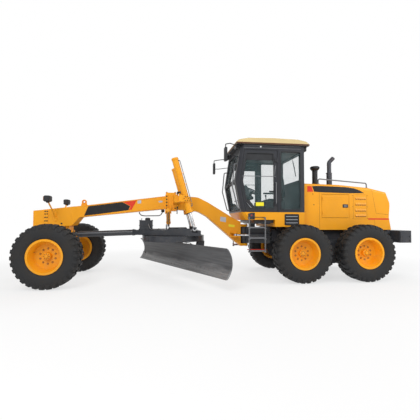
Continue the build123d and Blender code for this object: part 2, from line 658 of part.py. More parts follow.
MIRROR_X = 160.0
MIRROR_Y = CAB_HALF + 150
MIRROR_HIGH = CAB_TOP - 140
MIRROR_LOW = MIRROR_HIGH - 310
UPPER_ARM_Z = CAB_TOP - 40
LOWER_ARM_Z = CAB_TOP - 300
with BuildPart() as mirrors:
    for _, side in SIDES:
        mirror_place = Plane(origin=(MIRROR_X - 25, side * MIRROR_Y, (MIRROR_LOW + MIRROR_HIGH) / 2), x_dir=(0, 1, 0),
                             z_dir=(1, 0, 0))
        with BuildSketch(mirror_place):
            RectangleRounded(180, MIRROR_HIGH - MIRROR_LOW, 40)
        extrude(amount=50)
        tube_path([(front_x(UPPER_ARM_Z) - 30, side * RAIL_Y, UPPER_ARM_Z), (60, side * MIRROR_Y, UPPER_ARM_Z),
                   (MIRROR_X, side * MIRROR_Y, UPPER_ARM_Z - 20), (MIRROR_X, side * MIRROR_Y, MIRROR_HIGH - 20)], 20, 11)
        tube_path([(front_x(LOWER_ARM_Z) - 30, side * RAIL_Y, LOWER_ARM_Z), (40, side * MIRROR_Y, LOWER_ARM_Z),
                   (MIRROR_X, side * MIRROR_Y, LOWER_ARM_Z)], 20, 9)
    add(cab.part, mode=Mode.SUBTRACT)
save(mirrors.part, "mirrors")

# Lamps under the roof's front and rear edges, and one on the hood's tail.
LAMP_W = 140.0
LAMP_H = 100.0
LAMP_T = 70.0
LAMP_Y = 630.0
with BuildPart() as work_lamps:
    for low_x in (ROOF_FRONT - LAMP_T - 10, ROOF_REAR + 10):
        with BuildSketch(Plane.YZ.offset(low_x)):
            with Locations(*[(side * LAMP_Y, CAB_TOP - LAMP_H / 2) for _, side in SIDES]):
                RectangleRounded(LAMP_W, LAMP_H, 25)
        extrude(amount=LAMP_T)
    with BuildSketch(Plane.YZ.offset(HOOD_TAIL + 175)):
        with Locations((0, HOOD_TOP - 110)):
            RectangleRounded(LAMP_W - 20, 2 * LAMP_T, 25)
    extrude(amount=80)
    add(hood.part, mode=Mode.SUBTRACT)
    add(cab.part, mode=Mode.SUBTRACT)
save(work_lamps.part, "work_lamps")

# ---------------------------------------------------------------- sizes shared by the front axle and frame
AXLE_T = 120.0
CHEEK_GAP = 6.0
BRACKET_T = 22.0
BRACKET_BACK = 22.0  # the bracket stops short of the kingpin's middle, for the knuckle to turn
CHEEK_X = AXLE_T / 2 + CHEEK_GAP
LEAN_PIN_R = 28.0
LEAN_EYE_R = 60.0
LEAN_TOP_R = 16.0
LEAN_BAR_X = FRONT_AXLE_X + CHEEK_X + BRACKET_T + 30
KINGPIN_R = 26.0
HOUSE_R = 52.0
HOUSE_HALF = 110.0
AXLE_TOP = 925.0
ARM_LOW = AXLE_Z - 145
ARM_T = 30.0
TIE_X = FRONT_AXLE_X - STEER_ARM_X
TIE_Y = KINGPIN_Y - STEER_ARM_Y
TIE_EYE_R = 26.0
TIE_STUD_R = 12.0
TIE_PIN_R = 9.0

# ---------------------------------------------------------------- front frame
# Beam in side view as (x, z, bend radius): along the top from the nose to the hitch, then back below.
BEAM_END = -370.0
NOSE_LOW = 1250.0
BEAM_OUTLINE = (
    (NOSE_X, 1615, 0),
    (3520, 1738, 0),
    (1390, 2018, 300),
    (720, 1980, 300),
    (466, 1854, 300),
    (-220, 1440, 200),
    (BEAM_END, 1376, 0),
    (BEAM_END, 780, 0),
    (-242, 862, 60),
    (497, 1501, 300),
    (720, 1627, 300),
    (1510, 1685, 300),
    (BALL_X - 160, 1472, 60),
    (BALL_X + 10, NOSE_LOW + 15, 60),
    (NOSE_X, NOSE_LOW, 0),
)
LUG_TOP = HITCH_HIGH + 10
LUG_LOW = HITCH_LOW - 10
LUG_T = 60.0
LUG_R = 110.0
LIFT_LUG_X = 3480.0
LIFT_LUG_Z = 1845.0

# Socket for the drawbar's ball, open to the rear.
with BuildPart() as ball_socket:
    slab((BALL_X + 15, -100, BALL_Z - 95), (BALL_X + 15 + SOCKET_T, 100, BALL_Z + 95))
    with Locations((BALL_X, 0, BALL_Z)):
        Sphere(BALL_R + RUN, rotation=(0, 90, 0), mode=Mode.SUBTRACT)

with BuildPart() as front_frame:
    with BuildSketch(at_y(0)):
        rounded_polygon(BEAM_OUTLINE)
    extrude(amount=NOSE_HALF, both=True)
    # Plan view: full width at the nose, narrow along the beam.
    with BuildSketch(Plane.XY):
        polygon([(-380, -BEAM_HALF), (3450, -BEAM_HALF), (3700, -NOSE_HALF), (NOSE_X + 1, -NOSE_HALF),
                 (NOSE_X + 1, NOSE_HALF), (3700, NOSE_HALF), (3450, BEAM_HALF), (-380, BEAM_HALF)])
    extrude(amount=2200, mode=Mode.INTERSECT)
    # Hitch lugs and the vertical pin.
    for low in (LUG_TOP, LUG_LOW - LUG_T):
        with BuildSketch(Plane.XY.offset(low)):
            polygon([(-365, -BEAM_HALF), (-365, BEAM_HALF), (ARTIC_X, LUG_R), (ARTIC_X, -LUG_R)])
            with Locations((ARTIC_X, 0)):
                Circle(LUG_R)
        extrude(amount=LUG_T)
    bar((ARTIC_X, 0, LUG_LOW - LUG_T), (ARTIC_X, 0, LUG_TOP + LUG_T), ARTIC_PIN_R)
    # Lugs for the articulation cylinders' rod eyes.
    for _, side in SIDES:
        for low in (CYL_Z - EYE_H / 2 - CLEVIS_GAP - CLEVIS_T, CYL_Z + EYE_H / 2 + CLEVIS_GAP):
            with BuildSketch(Plane.XY.offset(low)):
                with Locations((CYL_EYE_X, side * CYL_EYE_Y)):
                    Circle(45)
                polygon([(CYL_EYE_X - 45, side * CYL_EYE_Y), (CYL_EYE_X + 45, side * CYL_EYE_Y),
                         (CYL_EYE_X + 110, side * (BEAM_HALF - 10)), (CYL_EYE_X - 60, side * (BEAM_HALF - 10))])
            extrude(amount=CLEVIS_T)
    # Bolster under the nose with the ball socket at its back.
    slab((BALL_X + 15 + SOCKET_T, -150, AXLE_TOP + 1), (LEAN_BAR_X - 60, 150, NOSE_LOW + 50))
    add(ball_socket.part)
    # Lifting lug.
    with BuildSketch(at_y(0)):
        polygon([(LIFT_LUG_X - 110, LIFT_LUG_Z - 250), (LIFT_LUG_X + 110, LIFT_LUG_Z - 250),
                 (LIFT_LUG_X + 45, LIFT_LUG_Z + 15), (LIFT_LUG_X - 45, LIFT_LUG_Z + 15)])
        with Locations((LIFT_LUG_X, LIFT_LUG_Z)):
            Circle(55)
            Circle(25, mode=Mode.SUBTRACT)
    extrude(amount=20, both=True)
save(front_frame.part, "front_frame")

# ---------------------------------------------------------------- saddle with the cylinders' yokes
SADDLE_BACK = 1250.0
CHEEK_Y = 220.0
YOKE_IN = LIFT_Y - LIFT_R - 10
YOKE_OUT = LIFT_Y + LIFT_R + 10
YOKE_T = 30.0
TRUNNION_R = 30.0
SHIFT_X = 1450.0
SHIFT_Y = 330.0
SHIFT_Z = 1600.0
SHIFT_R = 50.0
SHIFT_TRUNNION_R = 22.0
SHIFT_EAR_T = 20.0
SADDLE_FRONT = SHIFT_X + SHIFT_R + 5 + SHIFT_EAR_T

SADDLE_TOP = 2085.0
ARM_REAR = 1175.0
YOKE_PLATE_T = 30.0
YOKE_R = 75.0

with BuildPart() as saddle:
    # Saddle block over the beam, its top edges cut slanting, with a cap rib on top of each end.
    with BuildSketch(at_y(0)):
        polygon([(SADDLE_BACK, 1635), (SADDLE_FRONT, 1635), (SADDLE_FRONT, SADDLE_TOP - 60), (SADDLE_FRONT - 45, SADDLE_TOP),
                 (SADDLE_BACK + 45, SADDLE_TOP), (SADDLE_BACK, SADDLE_TOP - 60)])
    extrude(amount=CHEEK_Y, both=True)
    top_rims = saddle.edges().filter_by(Axis.X).sort_by(Axis.Z)[-2:]
    chamfer(top_rims, length=40)
    for _, side in SIDES:
        # Arm out to the lift cylinder: a box that narrows from the block to the yoke.
        with BuildSketch(Plane.XZ.offset(-side * 150)):
            with Locations(((ARM_REAR + SADDLE_BACK + 90) / 2, GIMBAL_Z)):
                Rectangle(SADDLE_BACK + 90 - ARM_REAR, 230)
        with BuildSketch(Plane.XZ.offset(-side * YOKE_IN)):
            with Locations((ARM_REAR + 65, GIMBAL_Z)):
                Rectangle(130, 160)
        loft()
        # Yoke plate behind the cylinder and its two cheeks.
        slab((ARM_REAR, min(side * (YOKE_IN - YOKE_T), side * (YOKE_OUT + YOKE_T)), GIMBAL_Z - YOKE_R),
             (ARM_REAR + YOKE_PLATE_T, max(side * (YOKE_IN - YOKE_T), side * (YOKE_OUT + YOKE_T)), GIMBAL_Z + YOKE_R))
        for inner in (YOKE_IN - YOKE_T, YOKE_OUT):
            with BuildSketch(at_y(side * inner)):
                with Locations((GIMBAL_X, GIMBAL_Z)):
                    Circle(YOKE_R)
                with Locations(((GIMBAL_X + ARM_REAR + YOKE_PLATE_T) / 2, GIMBAL_Z)):
                    Rectangle(ARM_REAR + YOKE_PLATE_T - GIMBAL_X, 2 * YOKE_R)
                with Locations((GIMBAL_X, GIMBAL_Z)):
                    Circle(TRUNNION_R + RUN, mode=Mode.SUBTRACT)
            extrude(amount=-side * YOKE_T)
    # Yoke of the centre-shift cylinder on the left cheek.
    for low_x in (SHIFT_X - SHIFT_R - 5 - SHIFT_EAR_T, SHIFT_X + SHIFT_R + 5):
        with BuildSketch(Plane.YZ.offset(low_x)):
            polygon([(CHEEK_Y - 30, 1640), (CHEEK_Y - 30, 1760), (CHEEK_Y, 1760), (SHIFT_Y + 45, 1620),
                     (SHIFT_Y + 45, SHIFT_Z - 45), (SHIFT_Y - 45, SHIFT_Z - 45)])
            with Locations((SHIFT_Y, SHIFT_Z)):
                Circle(SHIFT_TRUNNION_R + RUN, mode=Mode.SUBTRACT)
        extrude(amount=SHIFT_EAR_T)
    add(front_frame.part, mode=Mode.SUBTRACT)
save(saddle.part, "saddle")

HEADLAMP_X = NOSE_X - 520
HEADLAMP_Y = NOSE_HALF + 370
HEADLAMP_Z = 1870.0
HEADLAMP_W = 200.0
HEADLAMP_H = 140.0
HEADLAMP_T = 130.0
with BuildPart() as headlamps:
    for _, side in SIDES:
        foot = (HEADLAMP_X + 30, side * (NOSE_HALF - 20), NOSE_LOW + 170)
        bar(foot, (HEADLAMP_X + 65, side * (HEADLAMP_Y - 20), HEADLAMP_Z - 40), 16)
        # Shell narrowing to the rear, with the lens set back in its rim.
        with BuildSketch(Plane.YZ.offset(HEADLAMP_X + HEADLAMP_T)):
            with Locations((side * HEADLAMP_Y, HEADLAMP_Z)):
                RectangleRounded(HEADLAMP_W, HEADLAMP_H, 30)
        extrude(amount=-HEADLAMP_T, taper=8)
        with BuildSketch(Plane.YZ.offset(HEADLAMP_X + HEADLAMP_T - 8)):
            with Locations((side * HEADLAMP_Y, HEADLAMP_Z)):
                RectangleRounded(HEADLAMP_W - 16, HEADLAMP_H - 16, 24)
        extrude(amount=8, mode=Mode.SUBTRACT)
    add(front_frame.part, mode=Mode.SUBTRACT)
save(headlamps.part, "headlamps")

# ---------------------------------------------------------------- front axle, lean and steering
with BuildPart() as front_axle:
    with BuildSketch(Plane.YZ.offset(FRONT_AXLE_X)):
        polygon([(-560, 590), (-LEAN_PIN_Y, 602), (-LEAN_PIN_Y, 718), (-500, 740), (-220, 840), (-140, AXLE_TOP),
                 (140, AXLE_TOP), (220, 840), (500, 740), (LEAN_PIN_Y, 718), (LEAN_PIN_Y, 602), (560, 590)])
    extrude(amount=AXLE_T / 2, both=True)
    for _, side in SIDES:
        lean_front = (FRONT_AXLE_X + AXLE_T / 2, side * LEAN_PIN_Y, AXLE_Z)
        lean_back = (FRONT_AXLE_X - AXLE_T / 2, side * LEAN_PIN_Y, AXLE_Z)
        bar(lean_back, lean_front, LEAN_EYE_R)
        bore(lean_back, lean_front, LEAN_PIN_R + RUN)
save(front_axle.part, "front_axle")

for name, side in SIDES:
    with BuildPart() as lean_bracket:
        # Two cheeks around the axle's end, joined outboard by the kingpin housing.
        for low_x in (FRONT_AXLE_X - CHEEK_X - BRACKET_T, FRONT_AXLE_X + CHEEK_X):
            with BuildSketch(Plane.YZ.offset(low_x)):
                polygon([(side * (LEAN_PIN_Y - 62), AXLE_Z - 60), (side * (LEAN_PIN_Y - 62), AXLE_Z + 60),
                         (side * (LEAN_PIN_Y - 30), LEAN_TOP_Z + 30), (side * (LEAN_PIN_Y + 30), LEAN_TOP_Z + 30),
                         (side * (KINGPIN_Y - 60), AXLE_Z + 85), (side * (KINGPIN_Y - BRACKET_BACK), AXLE_Z + 85),
                         (side * (KINGPIN_Y - BRACKET_BACK), AXLE_Z - 85)])
            extrude(amount=BRACKET_T)
        slab((FRONT_AXLE_X - CHEEK_X - BRACKET_T, side * (LEAN_PIN_Y + LEAN_EYE_R + 15), AXLE_Z - 85),
             (FRONT_AXLE_X + CHEEK_X + BRACKET_T, side * (KINGPIN_Y - BRACKET_BACK), AXLE_Z + 85))
        house_low = (FRONT_AXLE_X, side * KINGPIN_Y, AXLE_Z - HOUSE_HALF)
        house_high = (FRONT_AXLE_X, side * KINGPIN_Y, AXLE_Z + HOUSE_HALF)
        bar(house_low, house_high, HOUSE_R)
        bar((FRONT_AXLE_X - CHEEK_X - BRACKET_T, side * LEAN_PIN_Y, AXLE_Z),
            (FRONT_AXLE_X + CHEEK_X + BRACKET_T, side * LEAN_PIN_Y, AXLE_Z), LEAN_PIN_R)
        bar((FRONT_AXLE_X + CHEEK_X, side * LEAN_PIN_Y, LEAN_TOP_Z),
            (LEAN_BAR_X + 25, side * LEAN_PIN_Y, LEAN_TOP_Z), LEAN_TOP_R)
        bore(house_low, house_high, KINGPIN_R + RUN)
    save(lean_bracket.part, "lean_bracket_" + name)

    with BuildPart() as knuckle:
        bar((FRONT_AXLE_X, side * KINGPIN_Y, AXLE_Z - 145), (FRONT_AXLE_X, side * KINGPIN_Y, AXLE_Z + 145), KINGPIN_R)
        for low in (AXLE_Z - 145, AXLE_Z + HOUSE_HALF + 5):
            with BuildSketch(Plane.XY.offset(low)):
                with Locations((FRONT_AXLE_X, side * KINGPIN_Y)):
                    Circle(50)
                with Locations((FRONT_AXLE_X, side * (KINGPIN_Y + 45))):
                    Rectangle(100, 90)
            extrude(amount=30)
        slab((FRONT_AXLE_X - 62, min(side * 930, side * 965), AXLE_Z - 145),
             (FRONT_AXLE_X + 62, max(side * 930, side * 965), AXLE_Z + 145))
        bar((FRONT_AXLE_X, side * 960, AXLE_Z), (FRONT_AXLE_X, side * (WHEEL_Y - DISC_INSET - DISC_T - 6), AXLE_Z), 90)
        # Steering arm reaching back from the lower lug, with its upright ball pin.
        with BuildSketch(Plane.XY.offset(ARM_LOW)):
            polygon([(FRONT_AXLE_X - 20, side * (KINGPIN_Y - 35)), (FRONT_AXLE_X - 20, side * (KINGPIN_Y + 40)),
                     (FRONT_AXLE_X - STEER_ARM_X, side * (KINGPIN_Y - STEER_ARM_Y + 25)),
                     (FRONT_AXLE_X - STEER_ARM_X, side * (KINGPIN_Y - STEER_ARM_Y - 25))])
            with Locations((FRONT_AXLE_X - STEER_ARM_X, side * (KINGPIN_Y - STEER_ARM_Y))):
                Circle(TIE_EYE_R)
        extrude(amount=ARM_T)
        if side > 0:
            bore((TIE_X, TIE_Y, ARM_LOW), (TIE_X, TIE_Y, ARM_LOW + ARM_T), TIE_STUD_R + RUN)
    save(knuckle.part, "knuckle_" + name)

with BuildPart() as lean_bar:
    for _, side in SIDES:
        bar((LEAN_BAR_X - 22, side * LEAN_PIN_Y, LEAN_TOP_Z), (LEAN_BAR_X + 22, side * LEAN_PIN_Y, LEAN_TOP_Z), 30)
    bar((LEAN_BAR_X, -LEAN_PIN_Y, LEAN_TOP_Z), (LEAN_BAR_X, LEAN_PIN_Y, LEAN_TOP_Z), 20)
    for _, side in SIDES:
        bore((LEAN_BAR_X - 22, side * LEAN_PIN_Y, LEAN_TOP_Z), (LEAN_BAR_X + 22, side * LEAN_PIN_Y, LEAN_TOP_Z),
             LEAN_TOP_R + RUN)
save(lean_bar.part, "lean_bar")

# Universal joint under the left steering arm: a stud up through the arm, a cross pin for the rod's fork.
TIE_Z = ARM_LOW - TIE_GAP - TIE_EYE_T / 2
FORK_IN = TIE_EYE_R + 4
FORK_OUT = FORK_IN + 12
with BuildPart() as steering_joint:
    bar((TIE_X, TIE_Y, TIE_Z - TIE_EYE_T / 2), (TIE_X, TIE_Y, TIE_Z + TIE_EYE_T / 2), TIE_EYE_R)
    bar((TIE_X, TIE_Y, TIE_Z), (TIE_X, TIE_Y, ARM_LOW + ARM_T + 6), TIE_STUD_R)
    bar((TIE_X - FORK_OUT, TIE_Y, TIE_Z), (TIE_X + FORK_OUT, TIE_Y, TIE_Z), TIE_PIN_R)
save(steering_joint.part, "steering_joint")

with BuildPart() as steering_rod:
    bar((TIE_X, -TIE_Y, TIE_Z), (TIE_X, TIE_Y - TIE_EYE_R - 12, TIE_Z), 16)
    bar((TIE_X, -TIE_Y, TIE_Z - TIE_EYE_T / 2), (TIE_X, -TIE_Y, TIE_Z + TIE_EYE_T / 2), TIE_EYE_R)
    slab((TIE_X - FORK_OUT, TIE_Y - TIE_EYE_R - 24, TIE_Z - 14), (TIE_X + FORK_OUT, TIE_Y - TIE_EYE_R - 10, TIE_Z + 14))
    for _, end in SIDES:
        slab((TIE_X + min(end * FORK_IN, end * FORK_OUT), TIE_Y - TIE_EYE_R - 24, TIE_Z - 14),
             (TIE_X + max(end * FORK_IN, end * FORK_OUT), TIE_Y + 14, TIE_Z + 14))
    bore((TIE_X - FORK_OUT, TIE_Y, TIE_Z), (TIE_X + FORK_OUT, TIE_Y, TIE_Z), TIE_PIN_R + RUN)
save(steering_rod.part, "steering_rod")

# ---------------------------------------------------------------- drawbar and circle drive
TUBE_FRONT = (BALL_X - BALL_R - 20, 0.0, BALL_Z - 4)
TUBE_REAR = (2240.0, 0.0, 1105.0)
EYE_LUG_T = 30.0
with BuildPart() as drawbar:
    with Locations((BALL_X, 0, BALL_Z)):
        Sphere(BALL_R, rotation=(0, 90, 0))
    bar((BALL_X, 0, BALL_Z), TUBE_FRONT, 38)
    bar(TUBE_FRONT, TUBE_REAR, 70)
    # A-frame over the circle: solid in front, open in the middle.
    with BuildSketch(Plane.XY.offset(DECK_LOW)):
        polygon([(2320, -75), (2320, 75), (860, 790), (700, 790), (700, -790), (860, -790)])
        Polygon((1830, 150), (900, 600), (900, -600), (1830, -150), align=None, mode=Mode.SUBTRACT)
    extrude(amount=DECK_HIGH - DECK_LOW)
    for _, side in SIDES:
        # Low corners with the lugs of the lift cylinders.
        with Locations((LIFT_EYE_X, side * 730, DECK_HIGH)):
            Box(130, 180, 90, mode=Mode.SUBTRACT)
        with BuildSketch(at_y(side * (LIFT_Y - 40))):
            polygon([(LIFT_EYE_X - 60, 1100), (LIFT_EYE_X + 60, 1100), (LIFT_EYE_X + 45, 1200), (LIFT_EYE_X - 45, 1200)])
            with Locations((LIFT_EYE_X, LIFT_EYE_Z)):
                Circle(45)
        extrude(amount=side * EYE_LUG_T)
    # Lug of the centre-shift cylinder on the right beam.
    with BuildSketch(Plane.YZ.offset(SHIFT_X + 42)):
        polygon([(-440, 1160), (-360, 1260), (-340, 1260), (-345, 1160)])
        with Locations((-350, 1260)):
            Circle(38)
    extrude(amount=25)
save(drawbar.part, "drawbar")

SHOE_TURNS = (22.0, -22.0, 146.0, -146.0)
SHOE_GAP = 8.0
SHOE_T = 24.0
SHOE_BACK = 40.0
SHOE_HALF = 55.0
with BuildPart() as circle_drive:
    # Gear case with its motor on top and the pinion shaft below the deck.
    slab((1840, -110, DECK_HIGH), (2150, 110, 1400))
    bar((1960, 0, 1400), (1960, 0, 1455), 60)
    bar((1900, 0, 950), (1900, 0, DECK_LOW), 45)
    # Guide shoes under the deck that hook below the circle's inner flange, two in front and two behind.
    for turn in SHOE_TURNS:
        shoe = Plane(origin=(CIRCLE_X, 0, 0), x_dir=(cos(radians(turn)), sin(radians(turn)), 0),
                     z_dir=(sin(radians(turn)), -cos(radians(turn)), 0))
        face_r = CIRCLE_BORE_R - SHOE_GAP
        toe_high = FLANGE_LOW - SHOE_GAP
        with BuildSketch(shoe):
            polygon([(face_r - SHOE_BACK, DECK_LOW), (face_r, DECK_LOW), (face_r, toe_high),
                     (CIRCLE_WIDE_R - SHOE_GAP, toe_high), (CIRCLE_WIDE_R - SHOE_GAP, toe_high - SHOE_T),
                     (face_r - SHOE_BACK, toe_high - SHOE_T)])
        extrude(amount=SHOE_HALF, both=True)
save(circle_drive.part, "circle_drive")

# ---------------------------------------------------------------- circle with its arms
TURN = radians(BLADE_TURN)
BLADE_SIDE = Plane(origin=(CIRCLE_X, 0, 0), x_dir=(cos(TURN), sin(TURN), 0), z_dir=(sin(TURN), -cos(TURN), 0))
CIRCLE_ARM_V = 520.0
CIRCLE_ARM_T = 60.0
CHEEK_V = 440.0
CHEEK_T = 60.0
PITCH_PIN_R = 28.0


def blade_point(u, v, z):
    """Place at u in front of the circle's centre, v to the left along the blade, at height z."""
    return (CIRCLE_X + u * cos(TURN) - v * sin(TURN), u * sin(TURN) + v * cos(TURN), z)


with BuildPart() as circle:
    with BuildSketch(Plane.XY.offset(CIRCLE_LOW)):
        with Locations((CIRCLE_X, 0)):
            Circle(CIRCLE_R)
            Circle(CIRCLE_BORE_R, mode=Mode.SUBTRACT)
    extrude(amount=CIRCLE_HIGH - CIRCLE_LOW)
    with BuildSketch(Plane.XY.offset(CIRCLE_LOW)):
        with Locations((CIRCLE_X, 0)):
            Circle(CIRCLE_WIDE_R)
    extrude(amount=FLANGE_LOW - CIRCLE_LOW, mode=Mode.SUBTRACT)
    for v in (-CIRCLE_ARM_V, CIRCLE_ARM_V):
        with BuildSketch(BLADE_SIDE.offset(-v)):
            polygon([(-570, CIRCLE_LOW + 1), (-375, CIRCLE_LOW + 1), (-350, 780), (-345, 640), (-300, 520), (-235, 490),
                     (-200, PITCH_Z), (-235, 360), (-300, 360), (-420, 500), (-560, 760)])
            with Locations((PITCH_U, PITCH_Z)):
                Circle(PITCH_PIN_R + RUN, mode=Mode.SUBTRACT)
        extrude(amount=CIRCLE_ARM_T / 2, both=True)
save(circle.part, "circle")

# ---------------------------------------------------------------- blade carriage
CYL_U = -222.0
CYL_SHIFT_Z = 790.0
SHIFT_BARREL_R = 40.0
SHIFT_ROD_R = 22.0
BARREL_V0 = -950.0
BARREL_V1 = 500.0
with BuildPart() as blade_carriage:
    for v in (-CHEEK_V, CHEEK_V):
        with BuildSketch(BLADE_SIDE.offset(-v)):
            polygon([(RAIL_BACK - 6, RAIL_LOW_Z - 6), (RAIL_BACK + 30, RAIL_LOW_Z - 6), (RAIL_BACK + 30, RAIL_LOW_Z - 36),
                     (-300, 340), (-310, 480), (-290, 720), (-262, 770), (RAIL_BACK + 30, 770),
                     (RAIL_BACK + 30, RAIL_HIGH_Z + RAIL_H + 6), (RAIL_BACK - 6, RAIL_HIGH_Z + RAIL_H + 6)])
        extrude(amount=CHEEK_T / 2, both=True)
    bar(blade_point(-250, -CHEEK_V, 590), blade_point(-250, CHEEK_V, 590), 45)
    bar(blade_point(PITCH_U, -CIRCLE_ARM_V - CIRCLE_ARM_T / 2, PITCH_Z), blade_point(PITCH_U, CIRCLE_ARM_V + CIRCLE_ARM_T / 2, PITCH_Z), PITCH_PIN_R)
    bar(blade_point(CYL_U, BARREL_V0, CYL_SHIFT_Z), blade_point(CYL_U, BARREL_V1, CYL_SHIFT_Z), SHIFT_BARREL_R)
    bore(blade_point(CYL_U, BARREL_V0 + 20, CYL_SHIFT_Z), blade_point(CYL_U, BARREL_V1, CYL_SHIFT_Z), SHIFT_ROD_R + RUN)
save(blade_carriage.part, "blade_carriage")

# ---------------------------------------------------------------- moldboard
BLADE_MID_Z = BLADE_LOW + BLADE_CHORD / 2
BLADE_BACK_U = -(BLADE_CURVE_R - (BLADE_CURVE_R**2 - (BLADE_CHORD / 2) ** 2) ** 0.5)
ROD_V0 = -220.0
ROD_V1 = 1500.0
RAIL_V = 1480.0
EDGE_H = 150.0
EDGE_T = 14.0
END_BIT_H = 210.0
END_BIT_L = 150.0


def blade_face(z):
    """Forward position of the blade's front face at height z."""
    return BLADE_BACK_U + BLADE_CURVE_R - (BLADE_CURVE_R**2 - (z - BLADE_MID_Z) ** 2) ** 0.5


def edge_section(height, thickness):
    """Section of a plate on the blade's front face, from its foot up to a height, in three flats."""
    levels = [BLADE_LOW + height * share for share in (0, 1 / 3, 2 / 3, 1)]
    back = [(blade_face(z) - 2, z) for z in levels]
    return back + [(blade_face(z) + thickness, z) for z in reversed(levels)]


with BuildPart() as moldboard:
    with BuildSketch(BLADE_SIDE.offset(-BLADE_V)):
        with BuildLine():
            RadiusArc((0, BLADE_LOW), (0, BLADE_LOW + BLADE_CHORD), BLADE_CURVE_R)
            Line((0, BLADE_LOW + BLADE_CHORD), (-BLADE_T, BLADE_LOW + BLADE_CHORD))
            RadiusArc((-BLADE_T, BLADE_LOW + BLADE_CHORD), (-BLADE_T, BLADE_LOW), -BLADE_CURVE_R)
            Line((-BLADE_T, BLADE_LOW), (0, BLADE_LOW))
        make_face()
    extrude(amount=BLADE_LENGTH / 2, both=True)
    # Cutting edge bolted over the foot of the blade, between a taller bit at each end.
    with BuildSketch(BLADE_SIDE.offset(-BLADE_V)):
        polygon(edge_section(EDGE_H, EDGE_T))
    extrude(amount=BLADE_LENGTH / 2 - END_BIT_L - 2, both=True)
    for end in (-1, 1):
        with BuildSketch(BLADE_SIDE.offset(-BLADE_V - end * (BLADE_LENGTH / 2 - END_BIT_L))):
            polygon(edge_section(END_BIT_H, EDGE_T + 4))
        extrude(amount=-end * END_BIT_L)
    for low in (RAIL_LOW_Z, RAIL_HIGH_Z):
        with BuildSketch(BLADE_SIDE):
            with Locations(((RAIL_BACK - 110) / 2, low + RAIL_H / 2)):
                Rectangle(-110 - RAIL_BACK, RAIL_H)
        extrude(amount=RAIL_V, both=True)
    # Bracket and rod of the side-shift cylinder.
    with BuildSketch(BLADE_SIDE.offset(-ROD_V1)):
        polygon([(-100, 680), (-100, 780), (CYL_U + 20, CYL_SHIFT_Z + 38), (CYL_U - 38, CYL_SHIFT_Z + 20),
                 (CYL_U - 38, CYL_SHIFT_Z - 40), (RAIL_BACK, RAIL_HIGH_Z)])
    extrude(amount=30)
    bar(blade_point(CYL_U, ROD_V0, CYL_SHIFT_Z), blade_point(CYL_U, ROD_V1, CYL_SHIFT_Z), SHIFT_ROD_R)
save(moldboard.part, "moldboard")

# ---------------------------------------------------------------- lift cylinders
LIFT_DX = LIFT_EYE_X - GIMBAL_X
LIFT_DZ = LIFT_EYE_Z - GIMBAL_Z
LIFT_REST = hypot(LIFT_DX, LIFT_DZ)


def lift_point(s, y):
    """Place on a lift cylinder's axis, s below its gimbal."""
    return (GIMBAL_X + LIFT_DX * s / LIFT_REST, y, GIMBAL_Z + LIFT_DZ * s / LIFT_REST)


for name, side in SIDES:
    y = side * LIFT_Y
    with BuildPart() as lift_barrel:
        bar(lift_point(-960, y), lift_point(320, y), LIFT_R)
        bar(lift_point(262, y), lift_point(330, y), LIFT_R + 10)
        bar(lift_point(-968, y), lift_point(-925, y), LIFT_R + 6)
        bar((GIMBAL_X, side * (YOKE_IN - YOKE_T), GIMBAL_Z), (GIMBAL_X, side * (YOKE_OUT + YOKE_T), GIMBAL_Z), TRUNNION_R)
        bore(lift_point(-930, y), lift_point(330, y), LIFT_ROD_R + RUN)
    save(lift_barrel.part, "lift_barrel_" + name)

    with BuildPart() as lift_rod:
        bar(lift_point(-650, y), lift_point(LIFT_REST, y), LIFT_ROD_R)
        bar((LIFT_EYE_X, side * (LIFT_Y - 30), LIFT_EYE_Z), (LIFT_EYE_X, side * (LIFT_Y + 30), LIFT_EYE_Z), 45)
    save(lift_rod.part, "lift_rod_" + name)

# ---------------------------------------------------------------- centre-shift cylinder
SHIFT_EYE_Y = -350.0
SHIFT_EYE_Z = 1260.0
SHIFT_REST = hypot(SHIFT_EYE_Y - SHIFT_Y, SHIFT_EYE_Z - SHIFT_Z)


def shift_point(s):
    """Place on the centre-shift cylinder's axis, s beyond its trunnion."""
    return (SHIFT_X, SHIFT_Y + (SHIFT_EYE_Y - SHIFT_Y) * s / SHIFT_REST, SHIFT_Z + (SHIFT_EYE_Z - SHIFT_Z) * s / SHIFT_REST)


with BuildPart() as centre_shift_barrel:
    bar(shift_point(-110), shift_point(580), SHIFT_R)
    bar((SHIFT_X - 75, SHIFT_Y, SHIFT_Z), (SHIFT_X + 75, SHIFT_Y, SHIFT_Z), SHIFT_TRUNNION_R)
    bore(shift_point(-95), shift_point(580), 26 + RUN)
save(centre_shift_barrel.part, "centre_shift_barrel")

with BuildPart() as centre_shift_rod:
    bar(shift_point(50), shift_point(SHIFT_REST), 26)
    bar((SHIFT_X - 30, SHIFT_EYE_Y, SHIFT_EYE_Z), (SHIFT_X + 30, SHIFT_EYE_Y, SHIFT_EYE_Z), 40)
save(centre_shift_rod.part, "centre_shift_rod")

